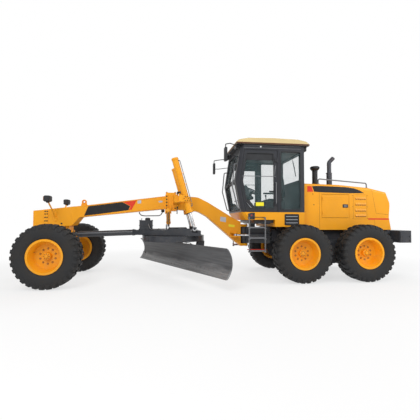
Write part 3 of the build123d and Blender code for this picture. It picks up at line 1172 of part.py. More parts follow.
# ---------------------------------------------------------------- articulation cylinders
for name, side in SIDES:
    pivot = Vector(CYL_PIVOT_X, side * CYL_PIVOT_Y, CYL_Z)
    eye = Vector(CYL_EYE_X, side * CYL_EYE_Y, CYL_Z)
    unit = (eye - pivot).normalized()
    with BuildPart() as artic_barrel:
        bar(pivot, pivot + unit * 520, 45)
        with BuildSketch(Plane.XY.offset(CYL_Z - EYE_H / 2)):
            with Locations((CYL_PIVOT_X, side * CYL_PIVOT_Y)):
                Circle(45)
        extrude(amount=EYE_H)
        bore(pivot + unit * 60, pivot + unit * 520, 25 + RUN)
        with Locations((CYL_PIVOT_X, side * CYL_PIVOT_Y, CYL_Z + EYE_H / 2 + 50)):
            Box(110, 110, 100, mode=Mode.SUBTRACT)
        with Locations((CYL_PIVOT_X, side * CYL_PIVOT_Y, CYL_Z - EYE_H / 2 - 50)):
            Box(110, 110, 100, mode=Mode.SUBTRACT)
    save(artic_barrel.part, "artic_barrel_" + name)

    with BuildPart() as artic_rod:
        bar(pivot + unit * 270, eye, 25)
        with BuildSketch(Plane.XY.offset(CYL_Z - EYE_H / 2)):
            with Locations((CYL_EYE_X, side * CYL_EYE_Y)):
                Circle(40)
        extrude(amount=EYE_H)
        with Locations((CYL_EYE_X, side * CYL_EYE_Y, CYL_Z + EYE_H / 2 + 50)):
            Box(90, 90, 100, mode=Mode.SUBTRACT)
        with Locations((CYL_EYE_X, side * CYL_EYE_Y, CYL_Z - EYE_H / 2 - 50)):
            Box(90, 90, 100, mode=Mode.SUBTRACT)
    save(artic_rod.part, "artic_rod_" + name)
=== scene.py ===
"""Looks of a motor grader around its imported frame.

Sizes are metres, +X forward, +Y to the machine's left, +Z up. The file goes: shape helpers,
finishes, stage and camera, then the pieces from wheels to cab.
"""
import json
import math

import bmesh
import bpy
import numpy as np
from mathutils import Matrix, Vector


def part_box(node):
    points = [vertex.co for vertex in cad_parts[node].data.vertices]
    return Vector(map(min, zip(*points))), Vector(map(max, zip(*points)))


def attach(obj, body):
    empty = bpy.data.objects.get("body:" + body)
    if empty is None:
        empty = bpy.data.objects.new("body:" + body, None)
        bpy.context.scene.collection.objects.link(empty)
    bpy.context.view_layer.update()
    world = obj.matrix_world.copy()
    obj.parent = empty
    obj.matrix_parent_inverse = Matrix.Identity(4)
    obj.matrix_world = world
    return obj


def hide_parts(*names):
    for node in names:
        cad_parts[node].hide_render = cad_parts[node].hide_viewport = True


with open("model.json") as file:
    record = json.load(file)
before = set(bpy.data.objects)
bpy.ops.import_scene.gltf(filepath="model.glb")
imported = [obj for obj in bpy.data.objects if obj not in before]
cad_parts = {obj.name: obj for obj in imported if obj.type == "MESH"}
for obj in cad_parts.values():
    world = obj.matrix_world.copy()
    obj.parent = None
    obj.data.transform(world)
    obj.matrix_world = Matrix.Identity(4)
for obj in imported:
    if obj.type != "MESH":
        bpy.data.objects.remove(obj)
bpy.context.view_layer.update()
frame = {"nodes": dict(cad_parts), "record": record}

SIDES = (("left", 1), ("right", -1))
TURN = 2 * math.pi
AHEAD, LEFT, UP = np.eye(3)
SHARPEST_MITRE = 0.35  # least cosine of half a corner's turn that a drawn-in outline follows


# ---------------------------------------------------------------- shapes

def grid_faces(rows, columns, ring_rows=False, ring_columns=False):
    """Quads between neighbouring points of a grid, wrapped round where a direction is a ring."""
    r = np.arange(rows if ring_rows else rows - 1)[:, None]
    c = np.arange(columns if ring_columns else columns - 1)[None, :]
    r_next, c_next = (r + 1) % rows, (c + 1) % columns
    corners = (r * columns + c, r * columns + c_next, r_next * columns + c_next, r_next * columns + c)
    return np.stack(np.broadcast_arrays(*corners), axis=-1).reshape(-1, 4).tolist()


def join(*shapes):
    """Several (points, faces) shapes as one, each one's face numbers shifted by the points before it."""
    points, faces, first = [], [], 0
    for shape_points, shape_faces in shapes:
        points.append(shape_points)
        faces += [[first + i for i in face] for face in shape_faces]
        first += len(shape_points)
    return np.concatenate(points), faces


def unit(vectors):
    """Vectors divided by their lengths."""
    vectors = np.asarray(vectors, float)
    return vectors / np.maximum(np.linalg.norm(vectors, axis=-1, keepdims=True), 1e-12)


def circle(radius, sides):
    """Points round a circle: (r cos a, r sin a)."""
    angle = np.arange(sides) * TURN / sides
    return np.stack([radius * np.cos(angle), radius * np.sin(angle)], axis=-1)


def inset(outline, distance):
    """A counter-clockwise outline drawn in by a distance: each corner moves along the bisector of
    its two edges' inward normals, by distance over the cosine of half the turn."""
    outline = np.asarray(outline, float)
    along = unit(np.roll(outline, -1, 0) - outline)
    normal = np.stack([-along[:, 1], along[:, 0]], axis=-1)
    before = np.roll(normal, 1, 0)
    bisector = unit(normal + before)
    stretch = np.maximum((bisector * normal).sum(-1, keepdims=True), SHARPEST_MITRE)
    return outline + bisector * distance / stretch


def rounded(outline, radius, steps=4):
    """An outline whose corners are quadratic curves: (1-t)^2 a + 2t(1-t) corner + t^2 b, with a and b
    a radius away along the two edges."""
    outline = np.asarray(outline, float)
    before, after = np.roll(outline, 1, 0), np.roll(outline, -1, 0)
    start = outline + unit(before - outline) * radius
    end = outline + unit(after - outline) * radius
    t = np.linspace(0, 1, steps + 1)[None, :, None]
    curve = (1 - t) ** 2 * start[:, None] + 2 * t * (1 - t) * outline[:, None] + t ** 2 * end[:, None]
    return curve.reshape(-1, outline.shape[1])


def rectangle(width, height):
    """Corners of a rectangle round its middle, counter-clockwise."""
    return np.array([(-width, -height), (width, -height), (width, height), (-width, height)]) / 2


def capped(rings):
    """A closed shape of rings with the same number of points, its first and last ring filled in."""
    n = len(rings[0])
    faces = grid_faces(len(rings), n, ring_columns=True)
    faces.append(list(range(n - 1, -1, -1)))
    faces.append(list(range(len(rings) * n - n, len(rings) * n)))
    return np.concatenate(rings), faces


def upright(first, last, low, high):
    """Corners of a rectangle in a plane view: up at the first place, down at the last."""
    return [(first, low), (first, high), (last, high), (last, low)]


def plate(outline, middle, across, up, thickness, edge=0.0):
    """A flat plate: the outline placed at middle + u across + v up, carried through its thickness
    along across x up, with its far rim drawn in by the edge width over a chamfer as deep."""
    across, up = unit(across), unit(up)
    out = np.cross(across, up)
    outline = np.asarray(outline, float)
    levels = [(0.0, 0.0), (0.0, thickness - edge), (edge, thickness)]
    rings = []
    for drawn, height in levels if edge else (levels[0], levels[2]):
        ring = inset(outline, drawn) if drawn else outline
        rings.append(np.asarray(middle, float) + ring[:, :1] * across + ring[:, 1:] * up + out * height)
    return capped(rings)


def block(low, high, edge=0.004):
    """A box between two corners with its six sides drawn in at every edge, as a plate both ways."""
    low, high = np.asarray(low, float), np.asarray(high, float)
    size = high - low
    outline = rounded(rectangle(size[0], size[1]), min(edge * 1.5, size[0] / 3, size[1] / 3), 3)
    rings = [(edge, 0.0), (0.0, edge), (0.0, size[2] - edge), (edge, size[2])]
    middle = np.array([(low[0] + high[0]) / 2, (low[1] + high[1]) / 2, low[2]])
    return capped([
        middle + np.column_stack([inset(outline, drawn) if drawn else outline, np.full(len(outline), height)])
        for drawn, height in rings
    ])


def side_block(side, x_ends, y_ends, z_ends, edge):
    """A box on one side of the machine, its ends across counted outwards from the middle."""
    near, far = sorted(side * y for y in y_ends)
    return block((x_ends[0], near, z_ends[0]), (x_ends[1], far, z_ends[1]), edge)


def sweep(path, profile, reference=UP, ring=False):
    """A profile carried along a path: path + u side + v top, where side is tangent x reference and
    top is side x tangent. An open path is closed by a cap at each end."""
    path, profile = np.asarray(path, float), np.asarray(profile, float)
    ahead = np.roll(path, -1, 0) - np.roll(path, 1, 0) if ring else np.gradient(path, axis=0)
    tangent = unit(ahead)
    side = unit(np.cross(tangent, np.asarray(reference, float)))
    top = np.cross(side, tangent)
    points = path[:, None] + side[:, None] * profile[None, :, :1] + top[:, None] * profile[None, :, 1:]
    n = len(profile)
    faces = [face[::-1] for face in grid_faces(len(path), n, ring_rows=ring, ring_columns=True)]
    if not ring:
        faces.append(list(range(n)))
        faces.append([(len(path) - 1) * n + i for i in range(n - 1, -1, -1)])
    return points.reshape(-1, 3), faces


def tube(route, radius, sides=12, bend=0.05, reference=UP):
    """A round bar along straight runs with rounded corners."""
    route = np.asarray(route, float)
    if len(route) > 2:
        middle = rounded(route, bend, 5).reshape(len(route), -1, 3)[1:-1].reshape(-1, 3)
        route = np.concatenate([route[:1], middle, route[-1:]])
    return sweep(route, circle(radius, sides), reference)


def square_to(axis):
    """A unit direction square to an axis: axis x Z, or axis x X where the axis is nearly upright."""
    return unit(np.cross(axis, UP if abs(axis[2]) < 0.9 else AHEAD))


def lathe(section, middle, axis=LEFT, sides=48, radial=None):
    """A section of (radius, distance along the axis) turned once round the axis."""
    axis = unit(axis)
    radial = square_to(axis) if radial is None else radial
    other = np.cross(axis, radial)
    section = np.asarray(section, float)
    angle = (np.arange(sides) * TURN / sides)[:, None, None]
    spoke = np.cos(angle) * radial + np.sin(angle) * other
    points = np.asarray(middle, float) + spoke * section[None, :, :1] + axis * section[None, :, 1:]
    return points.reshape(-1, 3), grid_faces(sides, len(section), ring_rows=True)


def copies(shape, places, across=AHEAD, up=LEFT):
    """One shape drawn in (u, v, w) set at several places, with u across, v up and w out of both."""
    points, faces = shape
    across, up = unit(across), unit(up)
    out = np.cross(across, up)
    turned = points[:, :1] * across + points[:, 1:2] * up + points[:, 2:] * out
    placed = np.asarray(places, float)[:, None] + turned[None]
    n = len(points)
    every = [[n * k + i for i in face] for k in range(len(placed)) for face in faces]
    return placed.reshape(-1, 3), every


def bolt(radius):
    """A hexagon bolt head on a round washer, standing on w = 0: rings of points at shares of the
    radius, the head's rim chamfered and its top closed."""
    washer = ((1.45, 0.0), (1.45, 0.18))
    head = ((1.0, 0.18), (1.0, 0.72), (0.82, 0.86))
    shapes = []
    for sides, levels in ((12, washer), (6, head)):
        rings = [np.column_stack([circle(radius * r, sides), np.full(sides, radius * h)]) for r, h in levels]
        faces = grid_faces(len(levels), sides, ring_columns=True)
        faces.append(list(range((len(levels) - 1) * sides, len(levels) * sides)))
        shapes.append((np.concatenate(rings), faces))
    return join(*shapes)


def side_bolts(radius, side, places):
    """Bolt heads that stand out sideways from one side of the machine."""
    return copies(bolt(radius), places, (-side, 0, 0), UP)


def piece(name, body, slot, *shapes, finish=None, smooth=None, stands_for=()):
    """An object made of one or more shapes on a body, in the finish of its record slot unless
    another is given. smooth is the angle in degrees under which neighbouring faces shade as one."""
    points, faces = join(*shapes)
    mesh = bpy.data.meshes.new(name)
    mesh.from_pydata(np.asarray(points).tolist(), [], faces)
    mesh.validate()
    work = bmesh.new()
    work.from_mesh(mesh)
    bmesh.ops.recalc_face_normals(work, faces=work.faces)
    work.to_mesh(mesh)
    work.free()
    mesh.materials.append(finish or FINISHES[slot])
    if smooth is not None:
        mesh.shade_smooth()
        mesh.set_sharp_from_angle(angle=math.radians(smooth))
    made = bpy.data.objects.new(name, mesh)
    bpy.context.scene.collection.objects.link(made)
    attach(made, body)
    if stands_for:
        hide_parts(*stands_for)
    return made


# ---------------------------------------------------------------- finishes

class Value:
    """A node socket that carries a number: Python arithmetic on it adds Math nodes."""

    def __init__(self, finish, socket):
        self.finish = finish
        self.socket = socket

    def math(self, operation, *values):
        return self.finish.node("ShaderNodeMath", {"operation": operation}, values)

    def __add__(self, other):
        return self.math("ADD", self, other)

    __radd__ = __add__

    def __mul__(self, other):
        return self.math("MULTIPLY", self, other)

    __rmul__ = __mul__

    def __sub__(self, other):
        return self.math("SUBTRACT", self, other)

    def __rsub__(self, other):
        return self.math("SUBTRACT", other, self)

    def sin(self):
        return self.math("SINE", self)

    def greatest(self, other):
        return self.math("MAXIMUM", self, other)


class Finish:
    """One material: a Principled shader, uniform values on its sockets, and nodes for what varies."""

    def __init__(self, name, **uniform):
        self.material = bpy.data.materials.new(name)
        self.material.use_nodes = True
        self.nodes = self.material.node_tree.nodes
        self.links = self.material.node_tree.links
        self.shader = self.nodes["Principled BSDF"]
        for key, value in uniform.items():
            self.shader.inputs[key.replace("_", " ").title().replace("Ior", "IOR")].default_value = value
        self.place = self.node("ShaderNodeTexCoord", {}, {}, "Object")

    def node(self, kind, settings, values, output=0):
        """Adds a node: its settings first, then the values or links of its sockets."""
        made = self.nodes.new(kind)
        for key, value in settings.items():
            setattr(made, key, value)
        pairs = values.items() if isinstance(values, dict) else enumerate(values)
        for key, value in pairs:
            if isinstance(value, Value):
                self.links.new(value.socket, made.inputs[key])
            else:
                made.inputs[key].default_value = value
        return Value(self, made.outputs[output])

    def feed(self, key, value):
        """Links a value or colour to a socket of the shader."""
        self.links.new(value.socket, self.shader.inputs[key])

    def stretched(self, scale, turn=0.0):
        """Object coordinates turned about Z by an angle in radians, then scaled."""
        turned = self.node("ShaderNodeMapping", {}, {"Vector": self.place, "Rotation": (0, 0, turn)})
        return self.node("ShaderNodeMapping", {}, {"Vector": turned, "Scale": scale})

    def noise(self, scale, detail=3.0, where=None):
        """Cloudy noise from 0 to 1, scale clouds to the metre, over the object or over other places."""
        values = {"Vector": where or self.place, "Scale": scale, "Detail": detail}
        return self.node("ShaderNodeTexNoise", {}, values)

    def step(self, value, low, high):
        """0 below low, 1 above high and a smooth ramp between, or the other way where high is less."""
        values = {"Value": value, "From Min": low, "From Max": high}
        return self.node("ShaderNodeMapRange", {"interpolation_type": "SMOOTHSTEP"}, values)

    def axis(self, letter):
        """The place along X, Y or Z, in metres."""
        return self.node("ShaderNodeSeparateXYZ", {}, {"Vector": self.place}, letter)

    def mix(self, factor, first, second):
        """A colour between two: factor 0 gives the first."""
        return self.node("ShaderNodeMix", {"data_type": "RGBA"}, {0: factor, 6: first, 7: second}, 2)

    def bump(self, height, strength, distance=0.002):
        """Small relief by the surface's normal, where height is 0 to 1 of a distance in metres."""
        values = {"Height": height, "Strength": strength, "Distance": distance}
        self.feed("Normal", self.node("ShaderNodeBump", {}, values))


def shade(colour, by):
    """A colour (red, green, blue, alpha) made darker or paler by a factor."""
    return tuple(min(1.0, c * by) for c in colour[:3]) + (1.0,)


DUST = (0.36, 0.29, 0.20, 1.0)
RUST = (0.16, 0.07, 0.03, 1.0)


def paint(name, colour, roughness=0.38, dust=0.18, coat=0.06, dust_top=1.25):
    """Sprayed paint: a slow drift of tone, a fine orange-peel bump, and dust in specks that grows
    thicker towards the ground."""
    finish = Finish(name, coat_weight=coat, coat_roughness=0.12, specular_ior_level=0.3)
    drift = finish.noise(1.1, 4.0)
    tone = finish.mix(finish.step(drift, 0.3, 0.7), shade(colour, 0.93), shade(colour, 1.04))
    low = finish.step(finish.axis("Z"), dust_top, 0.15)
    specks = finish.step(finish.noise(9.0, 8.0), 0.42, 0.72)
    dirty = (low * 0.75 + 0.12) * specks * dust
    finish.feed("Base Color", finish.mix(dirty, tone, DUST))
    finish.feed("Roughness", dirty * 0.9 + roughness + finish.noise(35.0, 2.0) * 0.08)
    finish.bump(finish.noise(260.0, 1.0) + finish.noise(34.0, 3.0) * 0.6, 0.10, 0.0015)
    return finish.material


def steel(name, colour, roughness, metallic, streak=(2.0, 60.0, 60.0), turn=0.0, rust=0.0):
    """Bare or worn steel: long fine scratches one way, clouded brightness and a little rust."""
    finish = Finish(name)
    scratch = finish.noise(1.0, 4.0, finish.stretched(streak, turn))
    cloud = finish.noise(3.0, 5.0)
    tone = finish.mix(finish.step(scratch, 0.35, 0.7), shade(colour, 0.72), shade(colour, 1.25))
    rusty = finish.step(cloud, 0.55, 0.8) * rust
    finish.feed("Base Color", finish.mix(rusty, tone, RUST))
    finish.feed("Roughness", roughness + scratch * 0.18 + rusty * 0.4)
    finish.feed("Metallic", (1 - rusty) * metallic)
    finish.bump(scratch, 0.12, 0.001)
    return finish.material


def rubber(name, colour, dust, grain=90.0):
    """Rubber: matt, greyed by dust in clouds, with a pitted grain."""
    finish = Finish(name)
    cloud = finish.step(finish.noise(4.0, 7.0), 0.35, 0.75)
    fine = finish.noise(grain, 4.0)
    dusty = cloud * dust
    finish.feed(
        "Base Color", finish.mix(dusty, finish.mix(fine, shade(colour, 0.7), shade(colour, 1.35)), DUST),
    )
    finish.feed("Roughness", 0.62 + cloud * 0.25 + fine * 0.08)
    finish.bump(fine, 0.22, 0.0015)
    return finish.material


def plastic(name, colour, roughness=0.5, grain=420.0, strength=0.12):
    """Moulded plastic: an even colour broken by a leathery grain and faint wear."""
    finish = Finish(name)
    wear = finish.noise(6.0, 5.0)
    tone = finish.mix(finish.step(wear, 0.3, 0.8), shade(colour, 0.8), shade(colour, 1.3))
    finish.feed("Base Color", tone)
    finish.feed("Roughness", roughness + wear * 0.14)
    finish.bump(finish.noise(grain, 2.0), strength, 0.0008)
    return finish.material


def glazing(name, tint, clear, roughness=0.03):
    """Tinted glass, mostly see-through: the tint drifts a little where a dust film gathers in clouds."""
    finish = Finish(name, specular_ior_level=0.7)
    film = finish.step(finish.noise(3.0, 5.0), 0.4, 0.9)
    finish.feed("Base Color", finish.mix(film, tint, shade(tint, 1.6)))
    finish.feed("Roughness", film * 0.10 + roughness)
    finish.feed("Alpha", film * 0.05 + (1 - clear))
    return finish.material


def glow(name, colour, lens, roughness=0.12, ribs=120.0):
    """A moulded lens or reflector: ribbed and glossy, a little brighter than its surroundings."""
    finish = Finish(name, coat_weight=0.6, coat_roughness=0.05)
    rib = (finish.axis("Z") * ribs * TURN).sin() * 0.5 + 0.5
    finish.feed("Base Color", finish.mix(rib, shade(colour, 0.7), colour))
    finish.feed("Roughness", rib * 0.1 + roughness)
    finish.feed("Metallic", rib * lens)
    finish.bump(rib, 0.3, 0.002)
    return finish.material


BLADE_TURN = math.radians(28.2)  # the blade stands aslant by this, and its scratches run along it
YELLOW = (0.88, 0.362, 0.008, 1.0)
CREAM = (0.64, 0.50, 0.25, 1.0)
CHARCOAL = (0.028, 0.030, 0.037, 1.0)
GREY = (0.040, 0.043, 0.051, 1.0)
CHROME = (0.75, 0.76, 0.78, 1.0)
BURNT = (0.07, 0.075, 0.09, 1.0)

# The finish of every record slot: its maker, its colour and what differs from the usual values.
SLOT_LOOKS = (
    ("yellow_paint", paint, YELLOW, {}),
    ("cream_paint", paint, CREAM, dict(roughness=0.4, dust=0.1)),
    ("dark_paint", paint, GREY, dict(roughness=0.30, dust=0.22, coat=0.2)),
    ("cab_paint", paint, CHARCOAL, dict(roughness=0.38, dust=0.12, coat=0.2, dust_top=2.2)),
    ("worn_steel", steel, (0.22, 0.22, 0.225, 1.0), dict(roughness=0.36, metallic=0.75, turn=BLADE_TURN)),
    ("chrome_rod", steel, CHROME, dict(roughness=0.08, metallic=1.0, streak=(40.0, 40.0, 3.0))),
    ("cast_iron", paint, (0.020, 0.020, 0.022, 1.0), dict(roughness=0.5, dust=0.5, coat=0.0)),
    ("tyre_rubber", rubber, (0.0105, 0.0110, 0.0125, 1.0), dict(dust=0.045)),
    ("glass", glazing, (0.16, 0.25, 0.26, 1.0), dict(clear=0.91)),
    ("black_plastic", plastic, (0.016, 0.017, 0.020, 1.0), {}),
    ("seat_fabric", rubber, (0.030, 0.032, 0.036, 1.0), dict(dust=0.04, grain=700.0)),
    ("exhaust_steel", steel, BURNT, dict(roughness=0.4, metallic=0.55, streak=(30.0, 30.0, 4.0), rust=0.3)),
)
FINISHES = {slot: make(slot, colour, **looks) for slot, make, colour, looks in SLOT_LOOKS}
RED_PAINT = paint("red_paint", (0.55, 0.028, 0.012, 1.0), dust=0.1)
# Black of the decals, also used as painted shade in the exhaust guard's slots.
DECAL_AND_SLOT_SHADE_BLACK = paint("decal_and_slot_shade_black", (0.013, 0.013, 0.014, 1.0), roughness=0.3, dust=0.15)
DECAL_RED = paint("decal_red", (0.72, 0.045, 0.015, 1.0), roughness=0.3, dust=0.1)
RAIL_GREY = paint("rail_grey", (0.17, 0.175, 0.187, 1.0), roughness=0.4, dust=0.2, coat=0.1)
# Painted shade: a dark reddish tone for the band under the cab roof's rim.
ROOF_RIM_SHADE = paint("roof_rim_shade", (0.085, 0.028, 0.014, 1.0), roughness=0.45, dust=0.1)
SEAM_BROWN = paint("seam_brown", (0.20, 0.075, 0.014, 1.0), roughness=0.5, dust=0.2, coat=0.0)
# Orange-brown of the nuts and screws, also used as painted shade in the hood's louvres.
NUT_BROWN_AND_LOUVRE_SHADE = paint("nut_brown_and_louvre_shade", (0.42, 0.165, 0.020, 1.0), roughness=0.45, dust=0.25, coat=0.1)
MIRROR_GLASS = steel("mirror_glass", (0.62, 0.66, 0.70, 1.0), 0.03, 1.0)
HOSE_RUBBER = rubber("hose_rubber", (0.012, 0.012, 0.013, 1.0), 0.06, grain=500.0)
CLEAR_LENS = glow("clear_lens", (0.72, 0.74, 0.76, 1.0), 0.6)
AMBER_LENS = glow("amber_lens", (0.85, 0.28, 0.02, 1.0), 0.1)
RED_LENS = glow("red_lens", (0.55, 0.02, 0.015, 1.0), 0.1)
STICKER_YELLOW = paint("sticker_yellow", (0.86, 0.74, 0.03, 1.0), roughness=0.35, dust=0.05)
STICKER_GREY = paint("sticker_grey", (0.50, 0.52, 0.56, 1.0), roughness=0.35, dust=0.05)

slot_of = {part["node"]: part["material_slot"] for part in frame["record"]["subparts"]}
for node_name, node in frame["nodes"].items():
    node.data.materials.clear()
    node.data.materials.append(FINISHES[slot_of[node_name]])


# ---------------------------------------------------------------- stage, light and camera

FLOOR_SHADOW_REACH = 9.0
FLOOR_HALF = 60.0
FLOOR_WHITE = 0.86
SKY_LEVEL = 0.56


def pale_floor():
    """A wide floor that takes the machine's shadow near it and turns to plain white further off,
    where a ray from the camera or from a mirror meets it."""
    finish = Finish("floor_white")
    finish.shader.inputs["Base Color"].default_value = (FLOOR_WHITE, FLOOR_WHITE, FLOOR_WHITE, 1.0)
    finish.shader.inputs["Roughness"].default_value = 0.9
    white = finish.nodes.new("ShaderNodeEmission")
    white.inputs["Color"].default_value = (1.0, 1.0, 1.0, 1.0)
    paths = finish.nodes.new("ShaderNodeLightPath")
    seen = Value(finish, paths.outputs["Is Camera Ray"])
    for output in ("Is Glossy Ray", "Is Transmission Ray"):
        seen = seen.greatest(Value(finish, paths.outputs[output]))
    away = finish.node("ShaderNodeVectorMath", {"operation": "LENGTH"}, {0: finish.place}, "Value")
    amount = finish.step(away, FLOOR_SHADOW_REACH * 0.6, FLOOR_SHADOW_REACH) * 0.35 + 0.65
    blend = finish.nodes.new("ShaderNodeMixShader")
    finish.links.new((seen * amount).socket, blend.inputs[0])
    finish.links.new(finish.shader.outputs[0], blend.inputs[1])
    finish.links.new(white.outputs[0], blend.inputs[2])
    finish.links.new(blend.outputs[0], finish.nodes["Material Output"].inputs[0])
    mesh = bpy.data.meshes.new("floor")
    corners = [(x * FLOOR_HALF, y * FLOOR_HALF, 0) for x, y in ((-1, -1), (1, -1), (1, 1), (-1, 1))]
    mesh.from_pydata(corners, [], [(0, 1, 2, 3)])
    mesh.materials.append(finish.material)
    floor = bpy.data.objects.new("floor", mesh)
    bpy.context.scene.collection.objects.link(floor)


pale_floor()

world = bpy.data.worlds.new("plain_sky")
world.use_nodes = True
sky = world.node_tree
background = sky.nodes["Background"]
background.inputs["Color"].default_value = (1.0, 1.0, 1.0, 1.0)
sky_paths = sky.nodes.new("ShaderNodeLightPath")
sky_seen = sky.nodes.new("ShaderNodeMath")
sky_seen.operation = "MAXIMUM"
sky_level = sky.nodes.new("ShaderNodeMapRange")
sky_level.inputs["To Min"].default_value = SKY_LEVEL
sky_level.inputs["To Max"].default_value = 1.0
sky.links.new(sky_paths.outputs["Is Camera Ray"], sky_seen.inputs[0])
sky.links.new(sky_paths.outputs["Is Transmission Ray"], sky_seen.inputs[1])
sky.links.new(sky_seen.outputs[0], sky_level.inputs["Value"])
sky.links.new(sky_level.outputs[0], background.inputs["Strength"])
bpy.context.scene.world = world
bpy.context.scene.view_settings.view_transform = "Standard"

# Soft boxes: place, the point they face, power in watts and width.
LAMPS = (
    ("key", (5.0, 9.5, 8.5), (0.5, 0.0, 1.0), 690.0, 6.0),
    ("fill", (-8.0, 6.0, 6.0), (-1.0, 0.0, 1.0), 350.0, 5.0),
    ("back", (-3.0, -9.0, 8.0), UP, 400.0, 6.0),
)
for lamp_name, place, target, power, width in LAMPS:
    lamp = bpy.data.lights.new(lamp_name, "AREA")
    lamp.energy = power
    lamp.size = width
    holder = bpy.data.objects.new(lamp_name, lamp)
    holder.location = place
    holder.rotation_euler = (Vector(target) - Vector(place)).to_track_quat("-Z", "Y").to_euler()
    bpy.context.scene.collection.objects.link(holder)

CAMERA_PLACE = Vector((1.344, 7.548, 1.3815))
CAMERA_YAW = math.radians(7.170)
CAMERA_PITCH = math.radians(2.180)
CAMERA_ROLL = math.radians(0.169)
LENS_MM = 25.448
SENSOR_MM = 36.0
camera_data = bpy.data.cameras.new("camera")
camera_data.lens = LENS_MM
camera_data.sensor_width = SENSOR_MM
camera = bpy.data.objects.new("camera", camera_data)
sight = Vector((
    -math.sin(CAMERA_YAW) * math.cos(CAMERA_PITCH),
    -math.cos(CAMERA_YAW) * math.cos(CAMERA_PITCH),
    math.sin(CAMERA_PITCH),
))
camera.matrix_world = (
    Matrix.Translation(CAMERA_PLACE)
    @ sight.to_track_quat("-Z", "Y").to_matrix().to_4x4()
    @ Matrix.Rotation(CAMERA_ROLL, 4, "Z")
)
bpy.context.scene.collection.objects.link(camera)
bpy.context.scene.camera = camera


# ---------------------------------------------------------------- wheels

TYRE_RADIUS = 0.6595
TYRE_HALF = 0.2225
LUG_COUNT = 30
LUG_TAPER = 0.10        # share by which a lug's crown is narrower than its foot
LUG_LOWEST = 0.565      # radius at which the lugs end on the shoulder
LUG_START = 0.012       # how far beside the middle plane the lugs begin
# Half section of the tyre's carcass as (radius, distance from the middle plane), bead to crown.
CARCASS = np.array([
    (0.3190, 0.1752), (0.3450, 0.1755), (0.3630, 0.1762), (0.3720, 0.1850), (0.3860, 0.1960),
    (0.3960, 0.1985), (0.4020, 0.2035), (0.4300, 0.2110), (0.4700, 0.2175), (0.5150, 0.2190),
    (0.5550, 0.2130), (0.5900, 0.2040), (0.6120, 0.1930), (0.6260, 0.1700), (0.6310, 0.1300),
    (0.6330, 0.0650), (0.6335, 0.0000),
])
# One lug from the crown down over the shoulder: share of the way, turn ahead of its middle and
# width as shares of the pitch, height over the carcass.
LUG_WAY = np.array([
    (0.00, -0.02, 0.46, 0.0265), (0.20, 0.14, 0.48, 0.0270), (0.34, 0.27, 0.50, 0.0272),
    (0.47, 0.19, 0.58, 0.0275), (0.62, 0.15, 0.62, 0.0270), (0.74, 0.14, 0.60, 0.0235),
    (0.88, 0.14, 0.56, 0.0150), (1.00, 0.14, 0.50, 0.0020),
])
LUG_FACE = np.array([(-0.56, -0.15), (-0.50, 0.80), (-0.44, 1.00), (0.44, 1.00), (0.50, 0.80), (0.56, -0.15)])


def carcass_way(share):
    """Places on the carcass between the crown and low on the shoulder, by share of the way along
    the section's own length, with the outward normal of each."""
    section = CARCASS[::-1]
    run = np.concatenate([[0.0], np.cumsum(np.linalg.norm(np.diff(section, axis=0), axis=1))])
    last = run[np.searchsorted(-section[:, 0], -LUG_LOWEST)]
    place = np.asarray(share) * (last - LUG_START) + LUG_START
    at, ahead = (
        np.stack([np.interp(spot, run, section[:, 0]), np.interp(spot, run, section[:, 1])], axis=-1)
        for spot in (place, place + 0.004)
    )
    along = unit(ahead - at)
    return at, np.stack([along[:, 1], -along[:, 0]], axis=-1)


def tyre(middle, out):
    """A traction tyre: the carcass turned round the axle, then two rows of lugs half a pitch apart.
    A lug point is carcass + height x normal, turned by its share of the pitch + width over radius."""
    section = np.concatenate([CARCASS[:-1], CARCASS[::-1] * (1, -1)])
    body = lathe(section, middle, sides=120, radial=AHEAD)
    pitch = TURN / LUG_COUNT
    base, normal = carcass_way(LUG_WAY[:, 0])
    shapes = [body]
    for flank in (1, -1):
        lug = np.arange(LUG_COUNT)[:, None, None] + (0.5 if flank == out else 0.0)
        ahead, width, tall = (LUG_WAY[None, :, column, None] for column in (1, 2, 3))
        face_across, face_up = (LUG_FACE[None, None, :, column] for column in (0, 1))
        height = tall * face_up
        sideways = width * face_across * (1 - LUG_TAPER * face_up)
        angle = (lug + ahead + sideways) * pitch
        radius = np.minimum(base[None, :, :1] + normal[None, :, :1] * height, TYRE_RADIUS)
        across = np.minimum(base[None, :, 1:] + normal[None, :, 1:] * height, TYRE_HALF) * flank
        points = np.stack([radius * np.sin(angle), across + 0 * angle, radius * np.cos(angle)], axis=-1)
        points = (points + middle).reshape(-1, 3)
        rows, columns = LUG_WAY.shape[0], LUG_FACE.shape[0]
        one = grid_faces(rows, columns)
        one += [list(range(columns))[::-1], list(range((rows - 1) * columns, rows * columns))]
        if flank < 0:
            one = [face[::-1] for face in one]
        size = rows * columns
        shapes.append((points, [[size * k + i for i in face] for k in range(LUG_COUNT) for face in one]))
    return join(*shapes)


def ring_places(middle, radius, count, along, start=0.0):
    """Places round a circle in the wheel's plane, a distance along the axle."""
    angle = start + np.arange(count) * TURN / count
    spokes = np.stack([radius * np.sin(angle), np.full(count, along), radius * np.cos(angle)], axis=-1)
    return np.asarray(middle) + spokes


